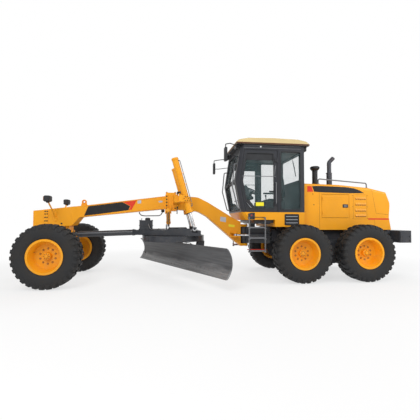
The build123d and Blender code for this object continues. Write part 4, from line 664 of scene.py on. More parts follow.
DISC_FACE = -0.010  # outer face of the rim disc, from the wheel's middle plane
HUB_FACE = 0.066
STEP_FACE = 0.150       # where the rim's inner step meets the tyre's bead
STEP_RADIUS, DISC_RADIUS = 0.307, 0.262
NUT_CIRCLE, CAP_BOLT_CIRCLE = 0.155, 0.052
VALVE_PLACE = np.array([0.255, 0, 0.08])
for corner in ("front_left", "front_right", "mid_left", "mid_right", "rear_left", "rear_right"):
    low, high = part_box("rim_" + corner)
    middle = np.array((low + high) / 2)
    out = 1 if corner.endswith("left") else -1
    body = "wheel_" + corner
    tread = tyre(middle, out)
    piece("tyre_tread_" + corner, body, "tyre_rubber", tread, smooth=35, stands_for=("tyre_" + corner,))
    step_way = ring_places(middle, STEP_RADIUS, 72, STEP_FACE * out)
    disc_way = ring_places(middle, DISC_RADIUS, 60, DISC_FACE * out)
    step_ring = sweep(step_way, circle(0.006, 8), LEFT, ring=True)
    disc_ring = sweep(disc_way, circle(0.007, 8), LEFT, ring=True)
    cap_section = ((0.0, 0.026), (0.026, 0.024), (0.036, 0.014), (0.039, 0.0))
    cap = lathe([(radius, (HUB_FACE + proud) * out) for radius, proud in cap_section], middle, sides=32)
    piece("rim_rings_" + corner, body, "yellow_paint", step_ring, disc_ring, cap, smooth=40)
    nuts = side_bolts(0.016, out, ring_places(middle, NUT_CIRCLE, 10, DISC_FACE * out))
    cap_bolts = side_bolts(0.008, out, ring_places(middle, CAP_BOLT_CIRCLE, 8, HUB_FACE * out))
    valve_section = ((0.0, 0.060), (0.004, 0.058), (0.0045, 0.020), (0.007, 0.018), (0.007, -0.01))
    valve = lathe([(radius, along * out) for radius, along in valve_section], middle + VALVE_PLACE, sides=12)
    piece("wheel_nuts_" + corner, body, "yellow_paint", nuts, cap_bolts, valve, finish=NUT_BROWN_AND_LOUVRE_SHADE, smooth=30)

# ---------------------------------------------------------------- front frame

BEAM_HALF = 0.155
NOSE_HALF = 0.230
SHEET = 0.0016      # thickness of a decal or sticker


def side_plate(points, side, y, thickness, edge=0.0):
    """A plate on a side face: points are (x, z) seen from the left, and it stands out by its thickness."""
    points = np.asarray(points, float)
    outline = np.column_stack([-points[:, 0] * side, points[:, 1]])
    area = (outline[:, 0] * np.roll(outline[:, 1], -1) - np.roll(outline[:, 0], -1) * outline[:, 1]).sum()
    if area < 0:
        outline = outline[::-1]
    return plate(outline, (0, side * y, 0), (-side, 0, 0), UP, thickness, edge)


# Outlines (x, z) of the painted fields: a black band and a red arrow behind it on the beam, and on
# the hood a black swoosh, a red flag ahead of it and a thin red stripe low down.
BEAM_BLACK = ((3.440, 1.504), (3.345, 1.732), (2.56, 1.840), (2.37, 1.745), (2.41, 1.645), (3.11, 1.545))
BEAM_RED = ((2.545, 1.842), (2.215, 1.886), (2.335, 1.655), (2.400, 1.646), (2.358, 1.745))
HOOD_BLACK = ((-2.075, 2.262), (-2.125, 2.122), (-2.25, 2.112), (-3.01, 2.098), (-3.46, 2.104),
              (-3.35, 2.168), (-3.19, 2.222), (-2.95, 2.250), (-2.30, 2.268))
HOOD_RED = ((-1.950, 2.258), (-1.945, 2.116), (-2.105, 2.120), (-2.055, 2.262))
HOOD_STRIPE = upright(-3.560, -4.130, 1.434, 1.470)
HOOD_HALF = 0.600
for name, side in SIDES:
    band, arrow = (side_plate(outline, side, BEAM_HALF, SHEET) for outline in (BEAM_BLACK, BEAM_RED))
    swoosh, flag, stripe = (
        side_plate(outline, side, HOOD_HALF, SHEET) for outline in (HOOD_BLACK, HOOD_RED, HOOD_STRIPE)
    )
    piece("beam_decal_" + name, "front_frame", "yellow_paint", band, finish=DECAL_AND_SLOT_SHADE_BLACK)
    piece("beam_arrow_" + name, "front_frame", "yellow_paint", arrow, finish=DECAL_RED)
    piece("hood_swoosh_" + name, "rear_frame", "yellow_paint", swoosh, finish=DECAL_AND_SLOT_SHADE_BLACK)
    piece("hood_flag_" + name, "rear_frame", "yellow_paint", flag, stripe, finish=DECAL_RED)

grey_label = rounded([(0.155, 1.385), (0.010, 1.360), (0.005, 1.480), (0.150, 1.500)], 0.010)
yellow_label = rounded([(-0.060, 1.250), (-0.215, 1.232), (-0.215, 1.290), (-0.060, 1.312)], 0.008)
beam_label = rounded([(2.195, 1.806), (2.108, 1.816), (2.108, 1.892), (2.195, 1.882)], 0.008)
oval_label = np.array([1.64, 1.862]) + circle(1.0, 24) * (0.052, 0.024)
grey_labels = [
    side_plate(shape, side, BEAM_HALF, SHEET)
    for _, side in SIDES for shape in (grey_label, beam_label, oval_label)
]
yellow_labels = [side_plate(yellow_label, side, BEAM_HALF, SHEET) for _, side in SIDES]
piece("grey_labels", "front_frame", "yellow_paint", *grey_labels, finish=STICKER_GREY)
piece("yellow_labels", "front_frame", "yellow_paint", *yellow_labels, finish=STICKER_YELLOW)

# Weld beads along the beam's and the gooseneck's edges: (x, z) of each run's two ends, and the way
# the bead lies from the edge.
WELD_POINTS = 160
WELD_INSET = 0.012
WELDS = (
    ((3.45, 1.747), (1.60, 1.990), -1),
    ((3.42, 1.484), (1.62, 1.673), 1),
    ((0.42, 1.820), (-0.20, 1.440), -1),
    ((0.45, 1.474), (-0.20, 0.902), 1),
)
weld_runs = []
for _, side in SIDES:
    for start, end, inward in WELDS:
        t = np.linspace(0, 1, WELD_POINTS)[:, None]
        x, z = (1 - t) * start[0] + t * end[0], (1 - t) * start[1] + t * end[1] + inward * WELD_INSET
        line = np.column_stack([x, np.full(WELD_POINTS, side * BEAM_HALF), z])
        weld_runs.append(sweep(line, circle(0.0055, 6) * (1.0, 1.6), (0, side, 0)))
piece("beam_welds", "front_frame", "yellow_paint", *weld_runs, smooth=60)

# The nose's bolted joint: a rail with two rows of bolts on each side.
NOSE_JOINT_X = 4.255
NOSE_RAIL = ((0.045, 1.262), (-0.045, 1.262), (-0.045, 1.640), (0.045, 1.634))
NOSE_RAIL_SHEET = 0.012
NOSE_BOLTS = [(NOSE_JOINT_X + dx, z) for dx in (-0.022, 0.022) for z in (1.30, 1.38, 1.46, 1.54, 1.60)]
nose_bits, nose_bolts = [], []
for _, side in SIDES:
    rail = rounded([(NOSE_JOINT_X + dx, z) for dx, z in NOSE_RAIL], 0.012)
    nose_bits.append(side_plate(rail, side, NOSE_HALF, NOSE_RAIL_SHEET, 0.004))
    spots = [(x, side * (NOSE_HALF + NOSE_RAIL_SHEET), z) for x, z in NOSE_BOLTS]
    nose_bolts.append(side_bolts(0.011, side, spots))
piece("nose_joint", "front_frame", "yellow_paint", *nose_bits)
piece("nose_bolts", "front_frame", "cast_iron", *nose_bolts)

# A dark plugged hole low on each side of the nose.
PLUG_SECTION = ((0.0, 0.004), (0.012, 0.004), (0.018, 0.007), (0.021, 0.004), (0.021, -0.002))
plugs = [lathe(PLUG_SECTION, (3.916, side * NOSE_HALF, 1.319), (0, side, 0), 24) for _, side in SIDES]
piece("nose_plugs", "front_frame", "black_plastic", *plugs, smooth=40)

# The lifting lug's hole is lined by a red ring.
lug_hole = np.insert(circle(0.034, 40), 1, 0.0, axis=1) + (3.48, 0.0, 1.845)
lug_ring = sweep(lug_hole, circle(0.024, 10) * (0.42, 1.0), LEFT, ring=True)
piece("lifting_lug_lining", "front_frame", "yellow_paint", lug_ring, finish=RED_PAINT, smooth=50)

# Headlamps: a shell on a clamp, a ribbed lens in its bezel, an amber lens beside it, and the bent
# post with its foot on the nose.
HEADLAMP_OUT = 0.600
HEADLAMP_FACE = 4.145
HEADLAMP_HEIGHT = 1.870
LENS_SECTION = ((0.0, 0.007), (0.030, 0.0065), (0.048, 0.004), (0.053, -0.004))
BEZEL_SECTION = ((0.052, -0.006), (0.056, 0.005), (0.061, 0.005), (0.064, -0.006))
for name, side in SIDES:
    y = side * HEADLAMP_OUT
    shell = block((4.022, y - 0.098, 1.802), (4.148, y + 0.098, 1.938), 0.022)
    post_route = [(4.050, side * 0.210, 1.420), (4.072, side * 0.36, 1.62), (4.085, side * 0.575, 1.80)]
    post = tube(post_route, 0.016, 12, 0.05, AHEAD)
    foot = side_block(side, (4.015, 4.085), (0.220, 0.244), (1.375, 1.465), 0.005)
    clamp = block((4.062, y - 0.045, 1.780), (4.108, y + 0.045, 1.806), 0.006)
    piece("headlamp_post_" + name, "front_frame", "yellow_paint", post, foot, smooth=35)
    piece(
        "headlamp_shell_" + name, "front_frame", "black_plastic", shell, clamp, smooth=35,
        stands_for=("headlamps",) if side > 0 else (),
    )
    lens_y = y - side * 0.030
    lens = lathe(LENS_SECTION, (HEADLAMP_FACE, lens_y, HEADLAMP_HEIGHT), AHEAD, 32)
    bezel = lathe(BEZEL_SECTION, (HEADLAMP_FACE - 0.002, lens_y, HEADLAMP_HEIGHT), AHEAD, 32)
    piece("headlamp_lens_" + name, "front_frame", "glass", lens, finish=CLEAR_LENS, smooth=50)
    piece("headlamp_bezel_" + name, "front_frame", "chrome_rod", bezel, smooth=50)
    amber = plate(
        rounded(rectangle(0.050, 0.096), 0.010), (HEADLAMP_FACE + 0.0005, y + side * 0.062, HEADLAMP_HEIGHT),
        LEFT, UP, 0.006, 0.002,
    )
    piece("indicator_lens_" + name, "front_frame", "glass", amber, finish=AMBER_LENS)

# ---------------------------------------------------------------- fittings that repeat

def around(middle, axis, radius, count, start=0.0):
    """Places round an axis with the two directions square to it, the first pointing at the start."""
    axis = unit(axis)
    across = square_to(axis)
    up = np.cross(axis, across)
    angle = (start + np.arange(count) * TURN / count)[:, None]
    return np.asarray(middle, float) + radius * (np.cos(angle) * across + np.sin(angle) * up), across, up


def bolt_ring(middle, axis, radius, count, size, start=0.0):
    """Bolt heads round an axis, standing out along it."""
    places, across, up = around(middle, axis, radius, count, start)
    return copies(bolt(size), places, across, up)


def hoop(middle, axis, radius, width, thickness, sides=40):
    """A flat band round an axis: a small rectangle carried round a circle."""
    ring, _, _ = around(middle, axis, radius + thickness / 2, sides)
    return sweep(ring, rounded(rectangle(thickness, width), min(thickness, width) * 0.25, 2), axis, ring=True)


def hex_nut(place, axis, radius, height):
    """A hexagon fitting with chamfered ends, standing on its place."""
    section = [(0.0, 0.0), (0.86, 0.0), (1.0, 0.14), (1.0, 0.86), (0.86, 1.0), (0.0, 1.0)]
    return lathe([(radius * r, height * h) for r, h in section], place, axis, 6)


def cylinder_pipe(head, gland, radius, outward, pipe_radius=0.008, bands=(0.3, 0.7)):
    """A steel pipe along a hydraulic cylinder: ports near its ends, the pipe standing off between
    them, and bands at shares of the way that hold it."""
    head, gland = np.asarray(head, float), np.asarray(gland, float)
    way = unit(gland - head)
    outward = np.asarray(outward, float)
    outward = unit(outward - (outward @ way) * way)
    first, last = head + way * radius * 0.9, gland - way * radius * 0.9
    off = radius + 3.2 * pipe_radius
    route = [first + outward * radius, first + outward * off, last + outward * off, last + outward * radius]
    pipe = tube(route, pipe_radius, 10, 2.5 * pipe_radius, np.cross(way, outward))
    sunk = outward * (radius - 0.004)
    nuts = [hex_nut(end + sunk, outward, pipe_radius * 1.9, pipe_radius * 2.2) for end in (first, last)]
    held = []
    for share in bands:
        place = first + (last - first) * share
        held.append(hoop(place, way, radius, 0.022, 0.0035))
        held.append(hoop(place + outward * off, way, pipe_radius, 0.020, 0.004, 14))
    return join(pipe, *nuts), join(*held)


# ---------------------------------------------------------------- saddle and its cylinders

GIMBAL = np.array((1.040, 0.690, 1.900))
ROD_EYE = np.array((0.840, 0.690, 1.200))
LIFT_WAY = unit(ROD_EYE - GIMBAL)
SADDLE_HALF = 0.220
SADDLE_RIBS = (1.285, 1.490)
SADDLE_SHEET = 0.016
CHEEK_FACES = (0.575, 0.805)
LIFT_HEAD, LIFT_GLAND, LIFT_END = -0.960, 0.262, 0.330  # along the cylinder from its gimbal
EYE_CHEEK = 0.030       # half width of the rod's eye
LIFT_CAP = ((0.0, -0.016), (0.040, -0.015), (0.066, -0.009), (0.078, 0.0))
LIFT_SEAL = ((0.0335, -0.004), (0.0335, 0.012), (0.040, 0.014), (0.050, 0.010), (0.052, -0.002))
EYE_PIN = ((0.0, 0.013), (0.020, 0.012), (0.024, 0.007), (0.024, -0.002))

for name, side in SIDES:
    mirrored = np.array((1, side, 1))
    head, gland, end = (GIMBAL * mirrored + LIFT_WAY * along for along in (LIFT_HEAD, LIFT_GLAND, LIFT_END))
    body = "lift_barrel_" + name
    pipe, bands = cylinder_pipe(head, gland, 0.075, (-1, 0.35 * side, 0), 0.009, (0.28, 0.52, 0.93))
    piece("lift_pipe_" + name, body, "worn_steel", pipe, smooth=40)
    cap = lathe(LIFT_CAP, head - LIFT_WAY * 0.008, LIFT_WAY, 40)
    piece("lift_bands_" + name, body, "yellow_paint", bands, cap, smooth=40)
    seal = lathe(LIFT_SEAL, end, LIFT_WAY, 32)
    gland_bolts = bolt_ring(end, LIFT_WAY, 0.067, 8, 0.0085)
    piece("lift_gland_" + name, body, "cast_iron", seal, gland_bolts, smooth=35)
    eye = ROD_EYE * mirrored + (0, EYE_CHEEK * side, 0)
    pin = lathe([(radius, along * side) for radius, along in EYE_PIN], eye, sides=24)
    keeper_outline = rounded(rectangle(0.100, 0.030), 0.006)
    keeper = plate(keeper_outline, eye + (0, 0, 0.028), (-side, 0, 0), UP, 0.006, 0.002)
    keeper_bolts = side_bolts(0.008, side, [eye + (x, 0.006 * side, 0.028) for x in (-0.036, 0.036)])
    piece("rod_eye_pin_" + name, "lift_rod_" + name, "dark_paint", pin, keeper, keeper_bolts, smooth=40)

# Saddle: bolted ribs down its sides and over its top, a bush at each gimbal cheek, a gusset under
# each arm and a small block on top of it.
saddle_parts, saddle_bolts = [], []
for _, side in SIDES:
    for x in SADDLE_RIBS:
        rib = rounded([(x - 0.034, 1.645), (x + 0.034, 1.645), (x + 0.034, 2.030), (x - 0.034, 2.030)], 0.010)
        saddle_parts.append(side_plate(rib, side, SADDLE_HALF, SADDLE_SHEET, 0.004))
        spots = [(x, side * (SADDLE_HALF + SADDLE_SHEET), z) for z in np.linspace(1.690, 1.990, 5)]
        saddle_bolts.append(side_bolts(0.013, side, spots))
    for face in CHEEK_FACES:
        out = side if face > GIMBAL[1] else -side
        bush, bush_face = ((GIMBAL[0], side * face + out * proud, GIMBAL[2]) for proud in (0.006, 0.012))
        saddle_parts.append(hoop(bush, LEFT, 0.033, 0.012, 0.030))
        saddle_bolts.append(bolt_ring(bush_face, (0, out, 0), 0.049, 6, 0.0075))
    arm = rounded([(1.20, 1.800), (1.33, 1.800), (1.30, 1.725), (1.22, 1.740)], 0.008)
    saddle_parts.append(side_plate(arm, side, SADDLE_HALF, 0.060, 0.006))
    saddle_parts.append(side_block(side, (1.215, 1.275), (0.30, 0.38), (2.004, 2.022), 0.004))
for x in SADDLE_RIBS:
    saddle_parts.append(block((x - 0.030, -0.150, 2.083), (x + 0.030, 0.150, 2.097), 0.004))
    saddle_bolts.append(copies(bolt(0.013), [(x, y, 2.097) for y in (-0.115, -0.04, 0.04, 0.115)]))
piece("saddle_ribs", "front_frame", "yellow_paint", *saddle_parts, smooth=35)
piece("saddle_bolts", "front_frame", "cast_iron", *saddle_bolts, smooth=30)

# Centre-shift cylinder: its pipe and bands, its collar and cap, and the seal round its rod.
SHIFT_PIVOT = np.array((1.450, 0.330, 1.600))
SHIFT_EYE = np.array((1.450, -0.350, 1.260))
shift_way = unit(SHIFT_EYE - SHIFT_PIVOT)
shift_head, shift_gland = SHIFT_PIVOT - shift_way * 0.110, SHIFT_PIVOT + shift_way * 0.580
pipe, bands = cylinder_pipe(shift_head, shift_gland, 0.050, (0, -0.5, -1), 0.007, (0.45, 0.8))
piece("shift_pipe", "centre_shift_barrel", "worn_steel", pipe, smooth=40)
collar = hoop(shift_gland - shift_way * 0.020, shift_way, 0.049, 0.040, 0.010)
cap = lathe([(0.0, -0.010), (0.030, -0.009), (0.046, -0.004), (0.050, 0.004)], shift_head, shift_way, 32)
piece("shift_bands", "centre_shift_barrel", "yellow_paint", bands, collar, cap, smooth=40)
seal = lathe([(0.0275, -0.004), (0.0275, 0.008), (0.034, 0.010), (0.038, -0.002)], shift_gland, shift_way, 28)
piece("shift_gland", "centre_shift_barrel", "black_plastic", seal, smooth=35)

# Check valve on the saddle's foot, and a line bent from it along under the beam to a fitting.
LINE_Y = 0.140
valve = block((1.545, 0.060, 1.600), (1.625, 0.150, 1.668), 0.008)
valve_caps = [hex_nut((1.585, 0.150, z), LEFT, 0.014, 0.022) for z in (1.618, 1.650)]
fitting = hex_nut((2.150, LINE_Y, 1.600), -UP, 0.014, 0.030)
line_route = [(x, LINE_Y, z) for x, z in ((2.150, 1.585), (2.140, 1.540), (2.060, 1.508), (1.640, 1.516))]
line = tube([*line_route, (1.590, 0.136, 1.610)], 0.0110, 14, 0.060, LEFT)
piece("beam_line", "front_frame", "black_plastic", line, fitting, finish=HOSE_RUBBER, smooth=50)
piece("check_valve", "front_frame", "cast_iron", valve, *valve_caps, smooth=35)

# Four lines side by side up the saddle's rear face under two clamp bars, bent over towards the arm.
SADDLE_BACK = 1.236
saddle_lines = []
for k in range(4):
    y = 0.120 + 0.026 * k
    upright_run = [(SADDLE_BACK, y, 1.560), (SADDLE_BACK, y, 2.030)]
    over = [(SADDLE_BACK - 0.020 * k, y + 0.10, 2.110), (1.130, 0.50 + 0.012 * k, 2.030)]
    saddle_lines.append(tube(upright_run + over, 0.0105, 12, 0.060, AHEAD))
piece("saddle_lines", "front_frame", "black_plastic", *saddle_lines, finish=HOSE_RUBBER, smooth=50)
clamps = [block((1.218, 0.100, z - 0.015), (1.250, 0.220, z + 0.015), 0.004) for z in (1.72, 1.94)]
piece("saddle_clamps", "front_frame", "dark_paint", *clamps)

# ---------------------------------------------------------------- drawbar and circle drive

BALL = np.array((3.690, 0.0, 1.060))
socket_places = [(3.705, y, z) for y in (-0.078, 0.078) for z in (0.985, 1.135)]
socket_bolts = copies(bolt(0.014), socket_places, -LEFT, UP)
piece("socket_bolts", "front_frame", "cast_iron", socket_bolts, smooth=30)

# Drawbar: two pairs of pipes from the gear case out along its arms, held by clips, and the ribs.
DECK_TOP = 1.165
PIPE_Z = 1.180
ARM_START, ARM_END = np.array((1.790, 0.250)), np.array((1.010, 0.640))
drawbar_lines, drawbar_clips = [], []
for _, side in SIDES:
    for shift in (-0.016, 0.016):
        case_run = [(1.930, side * 0.108, 1.300 + shift), (1.930, side * (0.165 + shift), 1.300 + shift)]
        down = [(1.880, side * (0.190 + shift), PIPE_Z + 0.002)]
        arm_run = [(x, side * (y + shift), PIPE_Z) for x, y in (ARM_START, ARM_END)]
        drawbar_lines.append(tube(case_run + down + arm_run, 0.0085, 10, 0.045, UP))
    for share in (0.12, 0.45, 0.78):
        x, y = (ARM_START + (ARM_END - ARM_START) * share) * (1, side)
        clip_low, clip_high = (x - 0.014, y - 0.036, DECK_TOP), (x + 0.014, y + 0.036, DECK_TOP + 0.028)
        drawbar_clips.append(block(clip_low, clip_high, 0.004))
    drawbar_clips.append(
        side_block(side, (0.975, 1.020), (0.602, 0.682), (DECK_TOP, DECK_TOP + 0.034), 0.006)
    )
piece("drawbar_lines", "drawbar", "worn_steel", *drawbar_lines, smooth=45)

ball_neck = lathe([(0.040, -0.110), (0.074, -0.130), (0.078, -0.160), (0.071, -0.175)], BALL, AHEAD, 36)
tube_collar = hoop((2.30, 0.0, 1.103), AHEAD, 0.070, 0.050, 0.010)
rib = ((-0.30, 0.0), (0.30, 0.0), (0.26, 0.050), (-0.26, 0.050))
ribs = [
    plate(rib, (1.20, side * 0.620, DECK_TOP), (1.460, -side * 0.715, 0), UP, 0.012) for _, side in SIDES
]
piece("drawbar_ribs", "drawbar", "dark_paint", ball_neck, tube_collar, *ribs, *drawbar_clips, smooth=35)

# Circle drive: a foot flange, a joint flange and a cap flange round the gear case, and the motor.
DRIVE = np.array((1.995, 0.0))
MOTOR = (1.960, 0.0)
# Flanges as lower face, upper face, length and width.
FLANGES = ((1.165, 1.187, 0.350, 0.262), (1.262, 1.280, 0.332, 0.242), (1.382, 1.404, 0.326, 0.236))
MOTOR_SECTION = ((0.0, 0.068), (0.030, 0.067), (0.050, 0.060), (0.054, 0.052), (0.061, 0.050), (0.064, 0.030),
                 (0.064, 0.002))
flanges, flange_bolts = [], []
for low, high, length, width in FLANGES:
    outline = rounded(rectangle(length, width), 0.030)
    flanges.append(plate(outline, (*DRIVE, low), AHEAD, LEFT, high - low, 0.004))
    half_length, half_width = length / 2 - 0.018, width / 2 - 0.010
    spots = [
        (DRIVE[0] + x, y, high) for x in (-half_length, 0.0, half_length) for y in (-half_width, half_width)
    ]
    flange_bolts.append(copies(bolt(0.0085), spots))
motor = lathe(MOTOR_SECTION, (*MOTOR, 1.400), UP, 40)
ports = [hex_nut((MOTOR[0], side * 0.060, 1.430), (0, side, 0), 0.015, 0.028) for _, side in SIDES]
BREATHER = ((0.0, 0.044), (0.012, 0.042), (0.014, 0.034), (0.007, 0.030), (0.007, 0.0))
breather = lathe(BREATHER, (2.10, 0.06, 1.404), UP, 20)
piece("drive_flanges", "drawbar", "dark_paint", *flanges, motor, breather, smooth=35)
motor_bolts = bolt_ring((*MOTOR, 1.462), UP, 0.034, 4, 0.006)
piece("drive_bolts", "drawbar", "cast_iron", *flange_bolts, *ports, motor_bolts, smooth=30)


def toothed_ring(middle, crown, root, back, low, high, teeth):
    """A ring with teeth on the face that looks from back to crown: four outline points a tooth, at
    shares 0, 0.22, 0.5 and 0.72 of its pitch, two on the root circle and two on the crown."""
    share = np.array([0.0, 0.22, 0.5, 0.72])
    angle = ((np.arange(teeth)[:, None] + share) * TURN / teeth).ravel()
    toothed = np.tile([root, crown, crown, root], teeth)
    plain = np.full_like(toothed, back)
    levels = ((toothed, low), (toothed, high), (plain, high), (plain, low))
    points = np.concatenate([
        np.column_stack([r * np.cos(angle), r * np.sin(angle), np.full_like(angle, z)]) for r, z in levels
    ])
    return points + np.asarray(middle, float), grid_faces(4, len(angle), ring_rows=True, ring_columns=True)


CIRCLE_X = 1.320
PINION = (1.900, 0, 0)
teeth = toothed_ring((CIRCLE_X, 0, 0), 0.652, 0.6655, 0.673, 0.904, 0.928, 96)
piece("circle_teeth", "circle", "dark_paint", teeth, smooth=25)
pinion = toothed_ring(PINION, 0.066, 0.054, 0.020, 0.906, 0.948, 11)
pinion_nut = hex_nut((PINION[0], 0, 0.906), -UP, 0.024, 0.014)
pinion_core = lathe([(0.0, 0.950), (0.030, 0.950), (0.030, 0.906), (0.0, 0.906)], PINION, UP, 24)
piece("drive_pinion", "drawbar", "cast_iron", pinion, pinion_nut, pinion_core, smooth=30)
wear_bolts = bolt_ring((CIRCLE_X, 0, 1.035), UP, 0.715, 24, 0.010, 0.13)
piece("circle_bolts", "circle", "cast_iron", wear_bolts, smooth=30)

# ---------------------------------------------------------------- blade and its carriage

BLADE_AHEAD = np.array((math.cos(BLADE_TURN), math.sin(BLADE_TURN), 0.0))
BLADE_ALONG = np.array((-math.sin(BLADE_TURN), math.cos(BLADE_TURN), 0.0))
BLADE_CURVE = 0.413
BLADE_LOW, BLADE_HIGH, BLADE_MIDDLE_V, BLADE_HALF = 0.250, 0.850, 0.010, 2.135
EDGE_HEIGHT = 0.150     # height of the cutting edge, whose face is flat, above the blade's foot
EDGE_BOLT_ROWS = (0.300, 0.362)
CHEEK_V = 0.440         # the carriage's cheeks, along the blade from its middle
PIN_V = 0.552
blade_mid_z = (BLADE_LOW + BLADE_HIGH) / 2
blade_centre_u = math.sqrt(BLADE_CURVE ** 2 - (BLADE_HIGH - blade_mid_z) ** 2)


def blade_place(u, v, z):
    """Places u ahead of the circle's middle and v along the blade, at height z."""
    u, v, z = np.broadcast_arrays(np.asarray(u, float), np.asarray(v, float), np.asarray(z, float))
    place = u[..., None] * BLADE_AHEAD + v[..., None] * BLADE_ALONG
    return place + np.stack([np.full_like(z, CIRCLE_X), np.zeros_like(z), z], axis=-1)


def blade_front(z):
    """How far ahead the hollow front face stands at a height: centre - sqrt(radius^2 - (z - middle)^2)."""
    return blade_centre_u - np.sqrt(BLADE_CURVE ** 2 - (np.asarray(z, float) - blade_mid_z) ** 2)


def blade_steel():
    """Blade steel: dark with mill scale above, polished paler towards the foot with a ragged upper
    limit, and long scratches along the blade."""
    finish = Finish("blade_steel")
    scratch = finish.noise(1.0, 5.0, finish.stretched((40.0, 1.2, 40.0), -BLADE_TURN))
    cloud = finish.noise(1.6, 5.0, finish.stretched((3.0, 0.8, 3.0), -BLADE_TURN))
    level = finish.axis("Z") + cloud * 0.34 + scratch * 0.03
    polished = finish.step(level, 0.66, 0.52)
    scale = finish.mix(finish.step(scratch, 0.3, 0.7), (0.085, 0.086, 0.090, 1.0), (0.135, 0.137, 0.142, 1.0))
    bright = finish.mix(finish.step(scratch, 0.3, 0.7), (0.24, 0.24, 0.245, 1.0), (0.36, 0.36, 0.365, 1.0))
    finish.feed("Base Color", finish.mix(polished, scale, bright))
    finish.feed("Roughness", 0.50 - polished * 0.12 + scratch * 0.12)
    finish.feed("Metallic", polished * 0.35 + 0.25)
    finish.bump(scratch, 0.12, 0.001)
    return finish.material


BLADE_STEEL = blade_steel()
frame["nodes"]["moldboard"].data.materials[0] = BLADE_STEEL
columns = np.arange(-12, 13) * 0.160 + BLADE_MIDDLE_V
thirds = np.array((0, 1 / 3, 2 / 3, 1))
edge_bolts = []
for z in EDGE_BOLT_ROWS:
    chord = np.interp((z - BLADE_LOW) / EDGE_HEIGHT, thirds, blade_front(BLADE_LOW + EDGE_HEIGHT * thirds))
    lean = blade_front(z + 0.02) - blade_front(z - 0.02)
    up = unit(BLADE_AHEAD * lean + np.array((0, 0, 0.04)))
    edge_bolts.append(copies(bolt(0.012), blade_place(chord + 0.0135, columns, z), BLADE_ALONG, up))
piece("edge_bolts", "moldboard", "worn_steel", *edge_bolts, finish=BLADE_STEEL, smooth=30)
v = np.linspace(BLADE_MIDDLE_V - BLADE_HALF + 0.004, BLADE_MIDDLE_V + BLADE_HALF - 0.004, 60)
lip = sweep(blade_place(-0.010, v, BLADE_HIGH - 0.004), circle(0.0125, 10))
piece("blade_lip", "moldboard", "worn_steel", lip, finish=BLADE_STEEL, smooth=50)
z = np.linspace(BLADE_LOW + 0.01, BLADE_HIGH - 0.012, 28)
end_ribs = []
for end in (-1, 1):
    rib_way = blade_place(blade_front(z) - 0.0145, BLADE_MIDDLE_V + end * (BLADE_HALF - 0.011), z)
    end_ribs.append(sweep(rib_way, rectangle(0.020, 0.016), BLADE_ALONG))
piece("blade_end_ribs", "moldboard", "worn_steel", *end_ribs, finish=BLADE_STEEL, smooth=30)

# Carriage: small guide blocks and a ring of bolts on each cheek, and the tilting pin's caps.
guide = block((-0.012, -0.018, -0.030), (0.012, 0.018, 0.030), 0.004)
PIN_CAP = ((0.0, 0.012), (0.030, 0.011), (0.038, 0.006), (0.038, -0.004))
carriage_parts, carriage_bolts = [], []
for v_cheek in (-CHEEK_V, CHEEK_V):
    guides = [blade_place(-0.128, v_cheek + shift, z) for z in (0.400, 0.700) for shift in (-0.045, 0.045)]
    carriage_parts += [copies(guide, [place], BLADE_AHEAD, BLADE_ALONG) for place in guides]
    for way in (-1, 1):
        face = blade_place(-0.250, v_cheek + way * 0.030, 0.590)
        carriage_bolts.append(bolt_ring(face, BLADE_ALONG * way, 0.060, 6, 0.009))
for way in (-1, 1):
    pin_end, cap_face = (blade_place(-0.260, way * (PIN_V + proud), 0.420) for proud in (0.0, 0.011))
    carriage_parts.append(lathe(PIN_CAP, pin_end, BLADE_ALONG * way, 32))
    carriage_bolts.append(bolt_ring(cap_face, BLADE_ALONG * way, 0.020, 3, 0.006))
shift_start, shift_end = (blade_place(-0.222, v, 0.790) for v in (-0.950, 0.500))
pipe, bands = cylinder_pipe(shift_start, shift_end, 0.040, UP, 0.007, (0.15, 0.5, 0.85))
collar = hoop(shift_end - BLADE_ALONG * 0.025, BLADE_ALONG, 0.0395, 0.050, 0.010)
piece("carriage_parts", "blade_carriage", "dark_paint", bands, collar, *carriage_parts, smooth=35)
piece("carriage_bolts", "blade_carriage", "cast_iron", *carriage_bolts, smooth=30)
piece("carriage_pipe", "blade_carriage", "worn_steel", pipe, smooth=40)


# ---------------------------------------------------------------- cab outside

CAB_FACE = 0.800
DOOR_FACE = 0.798
CAB_TAIL = -1.780
DOOR_GLASS_FACE = 0.7822
DOOR_REAR = -1.027      # rear end of the door's glass
FRONT_HEIGHTS = (1.420, 1.600, 2.330, 3.200)
FRONT_PLACES = (-0.370, -0.250, -0.110, -0.242)


def cab_front(z, back=0.0):
    """How far forward the cab's front stands at a height, straight between its four corners."""
    return float(np.interp(z, FRONT_HEIGHTS, FRONT_PLACES)) - back


def trim_ring(corners, facing, width, height, radius=0.03):
    """A rubber or metal strip round an opening: a rounded bar section carried round its corners."""
    path = rounded(corners, radius, 5)
    section = rounded(rectangle(width, height), min(width, height) * 0.3, 2)
    return sweep(path, section, facing, ring=True)


def side_trim(corners, side, y, width, height, radius=0.03):
    """A strip round an opening of a side view, on the face at a distance y from the middle."""
    return trim_ring(on_side(corners, side, y), (0, side, 0), width, height, radius)


def on_side(points, side, y):
    """Points (x, z) of a side view set on the face at a distance y from the middle."""
    points = np.asarray(points, float)
    return np.column_stack([points[:, 0], np.full(len(points), side * y), points[:, 1]])


